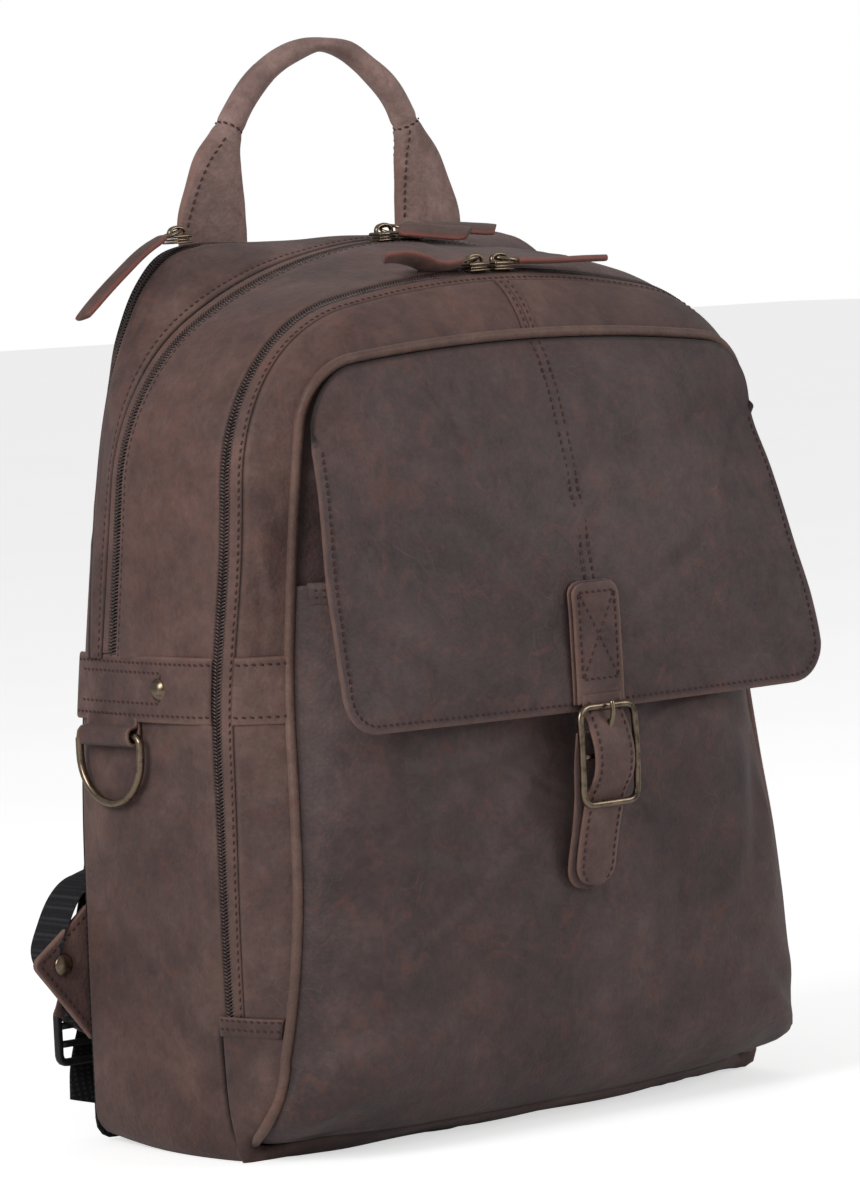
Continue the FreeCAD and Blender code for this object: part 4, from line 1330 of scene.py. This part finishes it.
def build_slider(name, seat, right, up, pull_path, pull_up, cut):
    """A slider with its bail, its link ring, and a raw-edged leather pull on a path of its own.

    cut says how far the pull's end is cut off aslant.
    """
    ahead = np.cross(up, right)
    axes = np.array([right, ahead, up])
    parts = [block((11.0, 8.4, 1.5), 0.7, seat + up * 1.9, axes),
             block((9.0, 6.4, 1.0), 0.45, seat + up * 0.4, axes),
             block((11.0, 8.0, 0.9), 0.4, seat - up * 0.75, axes)]
    bail = np.array([right * x + up * z for x, z in
                     [(-4.2, 2.3), (-4.3, 3.6), (-3.3, 5.0), (-1.2, 5.7), (1.2, 5.7),
                      (3.3, 5.0), (4.3, 3.6), (4.2, 2.3)]])
    parts.append(wire(seat + traced(bail, 24), 0.85, ahead, flat=1.5))
    piece(name + "_slider_body", *join(parts), BRASS, name + "_slider",
          replaces=[name + "_slider"], slot="antique_brass")

    pivot = seat + up * 3.9
    first = np.asarray(pull_path[0], float)
    toward = unit(first - pivot)
    level = unit(np.cross(toward, unit(np.asarray(pull_up, float))))
    reach = np.linalg.norm(first - pivot) + 2.6
    oval = [pivot - toward * 1.4 + toward * reach * 0.5 * (1 - math.cos(a))
            + level * 3.4 * math.sin(a) for a in np.linspace(0, 2 * math.pi, 32, endpoint=False)]
    piece(name + "_link_ring", *wire(oval, 0.75, pull_up, True), BRASS, name + "_pull",
          replaces=[name + "_link"], slot="antique_brass")

    def half(t):
        tip = np.clip((1 - t) / 0.12, 0, 1)
        root = np.clip(t / 0.10, 0, 1)
        return 6.0 * (0.78 + 0.22 * tip ** 0.6) * (0.62 + 0.38 * root ** 0.6)

    n = 60
    (verts, faces), wear_and_shade, (line_, sideways, _, _) = strap_sheet(pull_path, half, 2.8, pull_up, n,
                                                                crown=0.1)
    grid = verts.reshape(n, -1, 3)
    off = np.sum((grid - line_[:, None]) * sideways[:, None], 2)
    slant = cut * smooth(0.70, 1.0, np.linspace(0, 1, n))[:, None] * off
    verts = (grid + unit(np.gradient(line_, axis=0))[:, None] * slant[..., None]).reshape(-1, 3)
    piece(name + "_pull_leather", verts, faces, PULL, name + "_pull", replaces=[name + "_pull"],
          slot="pull_leather", wear_and_shade=np.clip(wear_and_shade * 1.6, 0, 1))


def build_sliders():
    """Each slider where it stands on its zip, and the way its pull lies.

    A pull's path is given as (right, forward, up) from the slider's seat.
    """
    laptop_zip, main_zip, front_zip = (386, 13, -90, 326), (383, 52, 0, 168), (368, 111, 0, -82)
    for name, zip_arc, x, points, pull_up, cut in (
            ("laptop", laptop_zip, -91.5,
             [(-9, 0.5, 1.4), (-19, 1, -3.5), (-33, 1.5, -13), (-45, 2, -22), (-55, 2, -30.5)],
             (-0.35, 0.1, 1), 0.2),
            ("main_left", main_zip, -7,
             [(6, 3.5, 3.4), (11, 8.5, 2.8), (18, 12, 1.8), (26, 14.5, 0.8), (34, 17.5, 0.1)],
             (-0.05, -0.5, 0.86), -0.7),
            ("main_right", main_zip, 7,
             [(8, 0.5, 3.6), (17, 1.5, 3.4), (27, 3, 2.8), (36, 5, 2.0), (45, 7, 1.2)],
             (0.03, -0.4, 0.92), -0.6),
            ("front_left", front_zip, -7,
             [(-8, -1, 2.4), (-15, -1.5, 1.3), (-22, -2, 1.8), (-30, -2.5, 4.8), (-39, -3, 6.6),
              (-48, -3, 6.4)], (0.0, 0.34, 0.94), -0.5),
            ("front_right", front_zip, 7,
             [(9, 1, 2.4), (18, 3, 2.0), (30, 5, 1.7), (42, 7, 1.7), (54, 9, 1.5)],
             (0, 0.03, 1.0), -0.3)):
        seat, right, up = slider_frame(*zip_arc, x)
        path = [seat + np.array([r, -f, 0.0]) + np.array([0, 0, u]) for r, f, u in points]
        build_slider(name, seat, right, up, path, pull_up, cut)


# ------------------------------------------------------------------ closure
TAB_LOW, TAB_TOP = 183.0, 234.5
BUCKLE_MID, BUCKLE_DEPTH = 161.0, 174.0


def rounded_end(share):
    """From 0 to 1 along a strap's rounded end."""
    return np.sqrt(np.clip(1 - (1 - np.clip(share, 0, 1)) ** 2, 0, 1))


def build_tab():
    """The two layers of the flap's tab and its box-and-cross stitches."""
    z = np.array([TAB_TOP, 222, 210, 198, 190, TAB_LOW])
    for name, off, grow, mat, replaced in (("flap_tab_under", 1.0, 0.9, FACE, ()),
                                           ("flap_tab_leather", 2.6, 0.0, TRIM, ["flap_tab"])):
        path = [place(0, flap_depth(0.0, v) + off, v + (grow if v == TAB_TOP else 0)) for v in z]
        shape, wear_and_shade, _ = strap_sheet(
            path, lambda t, g=grow: (13.4 + g) * (0.50 + 0.50 * rounded_end(t / 0.11)),
            1.7, (0, -1, 0.1), 70, crown=0.15, sections=13)
        piece(name, *shape, mat, "flap", slot="front_leather", wear_and_shade=wear_and_shade, replaces=replaced)
    top, low, w = 230.5, 193.5, 10.2
    for (x0, z0), (x1, z1) in (((-w, low), (-w, top)), ((w, low), (w, top)),
                               ((-w, top), (w, top)), ((-w, low), (w, low)),
                               ((-w, low), (w, top)), ((-w, top), (w, low))):
        t = np.linspace(0, 1, 24)
        x, z = x0 + (x1 - x0) * t, z0 + (z1 - z0) * t
        Stitches.add(place(x, flap_depth(0 * z, z) + 3.6, z), [0, -1.0, 0.1], "flap")


def build_closure():
    """The buckle with its prong, the closure strap, and the strap layer under it."""
    mid = BUCKLE_MID
    outer = rounded_outline([(-15.6, mid - 20.8), (15.6, mid - 20.8), (15.6, mid + 20.8),
                             (-15.6, mid + 20.8)], 6.0)
    ring = place(outer[:, 0], BUCKLE_DEPTH + 0.8 * np.cos((outer[:, 1] - mid) / 14.0),
                 outer[:, 1])
    bar = wire(place(np.linspace(-15, 15, 8), BUCKLE_DEPTH, mid), 1.3)
    piece("buckle", *join([sweep(ring, bar_profile(3.1, 2.8, 1.3), [0, -1.0, 0], True), bar]),
          BRASS, "flap", replaces=["buckle_frame"], slot="antique_brass")

    n = 30
    prong = traced([place(0.0, d, mid + v) for d, v in
                    [(175.0, -1.5), (174.6, 4), (174.4, 9), (176.4, 13), (178.2, 18),
                     (177.6, 23.5)]], n)
    t = np.linspace(0, 1, n)[:, None, None]
    profile = circle(1.0, 10)[None] * (1.45 * (1 - 0.30 * t)) * np.where(t > 0.97, 0.55, 1.0)
    pin = sweep(prong, profile, [0, -1.0, 0.3])
    collar = wire(place(np.linspace(-1.8, 1.8, 5), BUCKLE_DEPTH, mid), 2.5, sides=14)
    piece("prong_pin", *join([pin, collar]), BRASS, "prong", replaces=["buckle_prong"],
          slot="antique_brass")

    path = [place(0, d, v) for d, v in [(171.2, mid + 26), (171.8, mid + 19), (175.0, mid + 12),
                                        (178.0, mid + 2), (177.0, mid - 8), (171.6, mid - 16.5),
                                        (168.4, mid - 26), (164.6, mid - 40), (161.6, mid - 56.5)]]
    shape, wear_and_shade, frame_ = strap_sheet(
        path, lambda t: 11.2 * (0.16 + 0.84 * rounded_end((1 - t) / 0.11)), 2.4, (0, -1, 0.1),
        120, crown=0.5, sections=13)
    piece("closure_strap_leather", *shape, TRIM, "flap", replaces=["closure_strap"],
          slot="front_leather", wear_and_shade=wear_and_shade)
    for which in (1, -1):
        Stitches.add(*edge_run(frame_, 2.7, 2.7, which, 3), "flap")
    under = [place(-1.2, d, v) for d, v in [(169.6, mid + 10), (167.4, mid - 4), (166.6, mid - 18),
                                            (164.6, mid - 30), (161.2, mid - 44),
                                            (158.8, mid - 58)]]
    shape, wear_and_shade, _ = strap_sheet(
        under, lambda t: 12.6 * (0.2 + 0.8 * rounded_end((1 - t) / 0.14)), 2.2, (0, -1, 0.1),
        80, sections=13)
    piece("under_strap_leather", *shape, FACE, "flap", replaces=["under_strap"],
          slot="front_leather", wear_and_shade=wear_and_shade)
    # a black dome stands in for the punched hole in the strap: painted shade for its dark inside
    piece("strap_hole", *ball_cap(place(0, 176.0, mid + 13.5), (0, -1, 0.45), 2.1, 0.35),
          PLASTIC, "flap")


# ------------------------------------------------------------------ handle
ROLL_SEAM = 435.5              # the height where the flat legs turn into the roll


def build_handle():
    """The rolled handle: round over the top, flat and stitched down its legs."""
    line_ = traced([(-64, 383), (-64.4, 392), (-62.5, 405), (-59.5, 419), (-53, 434), (-43.5, 448),
                    (-29.5, 460.5), (-13, 468.6), (2, 471.2), (15, 468.6), (29, 460.5), (42, 448),
                    (50, 434), (54.5, 419), (57.5, 405), (59.5, 392), (59.5, 383)], 180)
    x, z = line_.T
    path = place(x, 4.0 + 0.5 * np.sin(x / 30), z)
    width = np.where(z < 460, curve(z, [(383, 37.5), (392, 37.5), (402, 34), (412, 29), (422, 22.5),
                                        (430, 15.5), (436, 12.8), (444, 11.6), (460, 10.4)]), 10.2)
    thick = np.where(z < 460, curve(z, [(383, 5.0), (400, 6.5), (412, 8), (422, 9.5), (430, 11.4),
                                        (436, 12.8), (444, 12.4), (460, 11.8)]), 11.8)
    width = width - 3.2 * np.exp(-((x - 3) / 12.0) ** 2)
    a = np.linspace(0, 2 * math.pi, 28, endpoint=False)
    square = smooth(436, 415, z)[:, None]
    power = 1.0 - 0.45 * square
    ca, sa = np.cos(a)[None], np.sin(a)[None]
    section = np.stack([np.sign(ca) * np.abs(ca) ** power * width[:, None] / 2,
                        np.sign(sa) * np.abs(sa) ** (power * 0.9) * thick[:, None] / 2], -1)
    verts, faces = sweep(path, section, [0, -1.0, 0])
    out = unit(verts - np.repeat(path, len(a), 0))
    verts = verts + out * ripple(verts, 22, 0.35, 51)[:, None]
    roll_seam = np.repeat(np.exp(-((z - ROLL_SEAM) / 1.6) ** 2), len(a))
    verts = verts - out * (roll_seam * 0.7)[:, None]
    wear_and_shade = np.exp(-((1 - np.abs(ca)) * 9) ** 2) * square
    obj = piece("handle", verts, faces, HANDLE, body=None, slot="trim_leather", wear_and_shade=wear_and_shade,
                replaces=["handle_leather", "handle_core"])
    place(0, 4, 387) * MM
    place(0, 4, 400) * MM
    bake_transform(obj)
    for side in (-1, 1):
        i = np.nonzero((z > 391) & (z < 433) & (x * side > 0))[0]
        for face in (-1, 1):
            run = path[i] + np.stack([3.2 - width[i] / 2, face * (thick[i] / 2 * 0.93), 0 * i], 1)
            Stitches.add(run, [0, face, 0], "handle", lift=0.1)
        i = np.argmin(np.abs(z - ROLL_SEAM) + 1000 * (x * side < 0))
        across = np.cross(unit(np.gradient(path, axis=0))[i], [0, -1.0, 0])
        ring = np.array([path[i] + across * math.cos(q) * 6.1 + np.array([0, 1.0, 0])
                         * math.sin(q) * 6.0 for q in np.linspace(0, 2 * math.pi, 40)])
        Stitches.add(ring, unit(ring - path[i]), "handle")


# ------------------------------------------------------------------ rings, rivets, straps
def band_face(depth, z):
    """How far out the side band's face is."""
    a = sample([z], back[:HALF, 2], back[:HALF])[0]
    edge = shifted(front, front_fwd, -ZIP_GAP - 0.5)[N_LOW:HALF - 60]
    b = sample([z], edge[:, 2], edge)[0]
    v = (BACK_Y - depth - a[1]) / (b[1] - a[1])
    return a[0] + (b[0] - a[0]) * v + 3.0 * (4 * v * (1 - v)) ** 0.7 + 2.7


def build_rings():
    """The D-rings under the side bands, each with the leather loop that holds it."""
    x, z0, d0, r = 156.6, 178.5, 31.0, 21.0
    a = np.linspace(0, math.pi, 40)
    bow = np.stack([d0 + r * np.cos(a), z0 - 8 - r * np.sin(a)], 1)
    bar = np.array([[d0 - r, z0 - 2], [d0 - r + 2.0, z0], [d0, z0], [d0 + r - 2.0, z0],
                    [d0 + r, z0 - 2]])
    ring = spaced(np.concatenate([bow, bar, bow[:1]]), 121)[:-1]
    section = spaced(np.array([(x - 2.4, 187.5), (x - 2.2, 183.5), (x + 1.6, 182.6),
                               (x + 3.4, 181), (x + 4.1, 178.4), (x + 3.2, 175.6),
                               (x + 0.6, 174.3), (x - 2.0, 175.2), (x - 3.4, 177.6),
                               (x - 4.4, 182), (x - 4.6, 187.5)]), 40)
    depths = np.concatenate([[13.0], np.linspace(13.6, 46.4, 26), [47.0]])[:, None]
    droop = 1.2 * (187 - section[:, 1]) * (depths > 27) * 0.12
    for side, name in ((-1, "left"), (1, "right")):
        piece("d_ring_" + name + "_wire",
              *wire(place(side * x, ring[:, 0], ring[:, 1]), 1.75, (1, 0, 0), True, 14),
              BRASS, "ring_" + name, replaces=["d_ring_" + name], slot="antique_brass")
        p = place(side * section[:, 0], depths + droop, section[:, 1])
        p[..., 0] += side * ripple(p, 18, 0.2, 61)
        wear_and_shade = np.zeros(p.shape[:2])
        wear_and_shade[:2] = wear_and_shade[-2:] = 1.0
        piece("ring_loop_" + name, p.reshape(-1, 3), grid_faces(*p.shape[:2]), TRIM, thick=1.2,
              slot="trim_leather", wear_and_shade=wear_and_shade, outside=(side * x, BACK_Y - 30, z0),
              replaces=["ring_loops"] if side < 0 else ())


def build_rivets():
    """A rivet at the end of each side band, and one on each corner tab."""
    heads = []
    for side in (-1, 1):
        heads.append(ball_cap((side * (band_face(63, 199) - 0.2), BACK_Y - 63, 199),
                              (side, 0, 0), 4.7, 2.5))
        heads.append(ball_cap(place(side * 164.0, 0.2, 79), (0, -1, 0), 4.7, 2.4))
    piece("rivet_heads", *join(heads), BRASS, replaces=["rivets"], slot="antique_brass")


def build_anchors():
    """The corner tabs that hold the webbing, stitched on both faces."""
    for side, name in ((-1, "left"), (1, "right")):
        corners = [(149, 104), (179.5, 80.5), (150, 44), (118, 58), (118, 92)]
        flat = rounded_outline([(side * x, z) for x, z in corners], [3, 5, 3, 6, 6])
        points = place(flat[:, 0], -1.2 - 0.002 * (np.abs(flat[:, 0]) - 150) ** 2, flat[:, 1])
        line_, inward = leather_plate("strap_anchor_" + name, points, (0, -1, 0), 2.6, TRIM,
                                      slot="trim_leather",
                                      replaces=["strap_anchors"] if side < 0 else ())
        for face in (-1, 1):
            Stitches.add(line_ + inward * 0.4 + np.array([0, (face + 1) * 1.3, 0]),
                         [0, face, 0], closed=True)


def build_straps():
    """The padded shoulder straps, each with its ladder lock and webbing."""
    for side, name in ((-1, "left"), (1, "right")):
        body = "strap_" + name
        path = place([side * x for x in (45, 50, 58, 68, 78, 90, 104, 121, 141, 147)],
                     [-6.5, -13, -20, -27, -30, -29, -26, -21, -15.5, -14],
                     [376, 345, 310, 265, 220, 178, 135, 96, 58, 48])

        def half(t):
            return curve(t, [(0, 28.5), (0.2, 31), (0.45, 28.5), (0.7, 22), (0.92, 17), (1, 15)])

        (verts, faces), wear_and_shade, frame_ = strap_sheet(path, half, 2.2, (0, 1, 0), 120, crown=1.6,
                                                   sections=17)
        verts = verts + np.array([0, 1.0, 0]) * ripple(verts, 45, 0.5, 71)[:, None]
        piece("strap_leather_" + name, verts, faces, BODY, body, slot="trim_leather", wear_and_shade=wear_and_shade)
        for which in (1, -1):
            Stitches.add(*edge_run(frame_, 3.0, 2.9, which, 2), body, lift=0.1)
        (verts, faces), _, _ = strap_sheet(path - np.array([0, 4.6, 0]), lambda t: half(t) - 2.2,
                                           6.4, (0, 1, 0), 120, crown=0.2, sections=17)
        verts = verts + np.array([0, 1.0, 0]) * ripple(verts, 34, 0.6, 73)[:, None]
        piece("strap_pad_" + name, verts, faces, MESH, body,
              replaces=["shoulder_strap_" + name], slot="trim_leather")

        # ladder lock: a frame with two bars, and the loose end of the webbing
        outline = rounded_outline([(side * 128, 34), (side * 157, 34), (side * 157, 58),
                                   (side * 128, 58)], 4.0)
        parts = [sweep(place(outline[:, 0], -16, outline[:, 1]), bar_profile(3.4, 3.6, 1.2),
                       [0, 1.0, 0], True)]
        for z in (42, 50):
            parts.append(wire(place(side * np.linspace(128.5, 156.5, 8), -16, z), 1.6, (0, 1, 0)))
        piece("ladder_lock_frame_" + name, *join(parts), PLASTIC, body,
              replaces=["ladder_lock_" + name], slot="black_plastic")
        loose = [place(side * (x - 8), d, z + 5) for x, d, z in
                 [(143, -18.5, 58), (143, -20, 50), (143.5, -17.5, 43), (144.5, -19.5, 34),
                  (147, -20, 22), (150, -17, 10)]]
        shape, _, _ = strap_sheet(loose, lambda t: 10.0 + 0 * t, 1.5, (0, 1, 0), 70, crown=0.0)
        piece("webbing_tail_" + name, *shape, WEB, body)

        # webbing from the corner tab up to the strap
        run = [place(side * x, d, z) for x, d, z in
               [(164, -6, 72), (166, -9, 82), (160, -11, 96), (151, -12, 108), (140, -12, 114.5),
                (127, -14, 119), (112, -18, 122)]]
        shape, _, _ = strap_sheet(run, lambda t: 11.0 * (0.55 + 0.45 * smooth(0, 0.2, t)), 1.6,
                                  (side, 0, 0.5), 90, crown=0.0)
        obj = piece("webbing_" + name + "_run", *shape, WEB, body=None,
                    replaces=["webbing_" + name], slot="webbing")
        place(side * 176, -5, 84) * MM
        place(side * 125, -16, 136) * MM
        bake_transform(obj)


QUILT_LINES = (-48.0, 48.0)


def build_back():
    """The padded back: mesh over foam in the seam, quilted in three columns, and the yoke."""
    flat = back[:, [0, 2]]
    centre = np.array([0.0, 200.0])
    shares = np.concatenate([np.linspace(0, 0.9, 34), [0.93, 0.955, 0.975, 0.99, 1.0]])[::-1]
    xz = centre + (flat[:, None] - centre) * shares[None, :, None]
    x, z = xz[..., 0], xz[..., 1]
    reach = np.linalg.norm(flat[:, None] - xz, axis=2)
    puff = 3.6 * (1 - np.exp(-reach / 9.0))
    for quilt_x in QUILT_LINES:
        puff = puff - 2.4 * np.exp(-((x - quilt_x) / 4.0) ** 2) * (1 - np.exp(-reach / 12.0))
    puff = puff + ripple(place(x, 0, z), 30, 0.35, 81) * np.clip(reach / 20, 0, 1)
    top = smooth(325, 345, z)
    puff = puff * (1 - top) + 0.4 * top
    p = place(x, -puff + 0.8, z)
    piece("back_panel_pad", p.reshape(-1, 3), grid_faces(LOOP, len(shares), True), MESH, thick=1.0,
          replaces=["back_panel", "back_foam"], slot="lining", outside=BAG_MIDDLE)
    for quilt_x in QUILT_LINES:
        Stitches.add(place(quilt_x, -0.75, np.linspace(22, 322, 60)), [0, 1.0, 0])
    flat = rounded_outline([(-88, 336), (88, 336), (84, 381), (-84, 381)], 8.0)
    line_, inward = leather_plate("yoke_leather", place(flat[:, 0], -1.4, flat[:, 1]), (0, 1, 0),
                                  2.4, TRIM, slot="trim_leather", replaces=["strap_yoke"])
    Stitches.add(line_ + inward * 0.6, [0, 1.0, 0], closed=True)


def build_bottom():
    """The leather plate under the bag."""
    flat = rounded_outline([(-128, 6), (128, 6), (128, 103), (-128, 103)], 14.0)
    points = place(flat[:, 0], flat[:, 1], 1.2 + 2.4 * smooth(20, 125, flat[:, 0]))
    line_, inward = leather_plate("bottom_plate", points, (0, 0, -1), 2.2, BODY,
                                  slot="body_leather", replaces=["bottom_panel"])
    Stitches.add(line_ + inward * 0.6, [0, 0, -1.0], closed=True)


# ------------------------------------------------------------------ stage
def build_stage():
    """A pale floor, soft studio light, and a long-lens camera a little above, from front left."""
    bpy.ops.mesh.primitive_plane_add(size=30.0, location=(0, 0, 0))
    floor = bpy.context.object
    floor.name = "floor"
    m, tree, shader, where = material("floor")
    paper = noise(tree, where, 3.0, 2.0)
    tree.links.new(ramp(tree, paper, [(0.3, rgb(238, 238, 238)), (0.7, rgb(243, 243, 243))]),
                   shader.inputs["Base Color"])
    shader.inputs["Roughness"].default_value = 0.9
    seen = tree.nodes.new("ShaderNodeLightPath")
    shader.inputs["Emission Color"].default_value = (1, 1, 1, 1)
    tree.links.new(maths(tree, "MULTIPLY", seen.outputs["Is Camera Ray"], 0.6),
                   shader.inputs["Emission Strength"])
    floor.data.materials.append(m)

    world = bpy.data.worlds.new("studio")
    bpy.context.scene.world = world
    world.use_nodes = True
    tree = world.node_tree
    seen = tree.nodes.new("ShaderNodeLightPath")
    ground = tree.nodes["Background"]
    ground.inputs["Color"].default_value = (1, 1, 1, 1)
    glow = maths(tree, "ADD", maths(tree, "MULTIPLY", seen.outputs["Is Camera Ray"], 0.72), 0.28)
    tree.links.new(glow, ground.inputs["Strength"])

    def softbox(name, place_m, aim, size, power):
        light = bpy.data.lights.new(name, "AREA")
        light.shape = "RECTANGLE"
        light.size, light.size_y = size
        light.energy = power
        obj = bpy.data.objects.new(name, light)
        bpy.context.scene.collection.objects.link(obj)
        obj.location = place_m
        obj.rotation_euler = (Vector(aim) - Vector(place_m)).to_track_quat("-Z", "Y").to_euler()

    softbox("key", (-2.5, -0.45, 1.6), (0, 0, 0.28), (1.1, 1.3), 37)
    softbox("fill", (1.5, -2.2, 1.3), (0, 0, 0.22), (1.3, 1.3), 19)
    softbox("top", (0.5, 0.6, 2.0), (0, 0, 0.2), (1.4, 1.4), 2)

    azimuth, elevation, roll = math.radians(-40.71), math.radians(3.83), math.radians(-2.8)
    distance, sideways, upwards = 2.5, 0.0398, 0.0234                       # metres
    toward = Vector((math.sin(azimuth) * math.cos(elevation),
                     -math.cos(azimuth) * math.cos(elevation), math.sin(elevation)))
    level = Vector((math.cos(azimuth), math.sin(azimuth), 0))
    above = toward.cross(level)
    right = level * math.cos(roll) + above * math.sin(roll)
    up = above * math.cos(roll) - level * math.sin(roll)
    spot = (Vector((0, BACK_Y * MM, 0.2)) + right * sideways + up * upwards + toward * distance)
    camera = bpy.data.objects.new("camera", bpy.data.cameras.new("camera"))
    bpy.context.scene.collection.objects.link(camera)
    camera.data.lens = 167.3
    camera.data.clip_end = 60
    camera.matrix_world = Matrix(((right.x, up.x, toward.x, spot.x),
                                  (right.y, up.y, toward.y, spot.y),
                                  (right.z, up.z, toward.z, spot.z), (0, 0, 0, 1)))
    bpy.context.scene.camera = camera
    bpy.context.scene.view_settings.view_transform = "Standard"


build_body()
build_zips()
build_bands()
build_cross_seam()
build_dividers()
build_piping()
build_pocket()
build_flap()
build_tab()
build_closure()
build_sliders()
build_handle()
build_rings()
build_rivets()
build_anchors()
build_straps()
build_back()
build_bottom()
Stitches.make()
build_stage()

SLOT_LOOKS = {"body_leather": BODY, "front_leather": FACE, "trim_leather": TRIM,
              "pull_leather": PULL, "lining": LINING, "foam": MESH, "board": BOARD,
              "core_cord": THREAD, "zip_tape": TAPE, "zip_coil": COIL, "webbing": WEB,
              "black_plastic": PLASTIC, "antique_brass": BRASS}
slots = {part["node"]: part["material_slot"] for part in frame["record"]["subparts"]}
for name, obj in frame["nodes"].items():
    if not obj.data.materials:
        obj.data.materials.append(BODY)
    for slot in obj.material_slots:
        slot.material = SLOT_LOOKS[slots[name]]
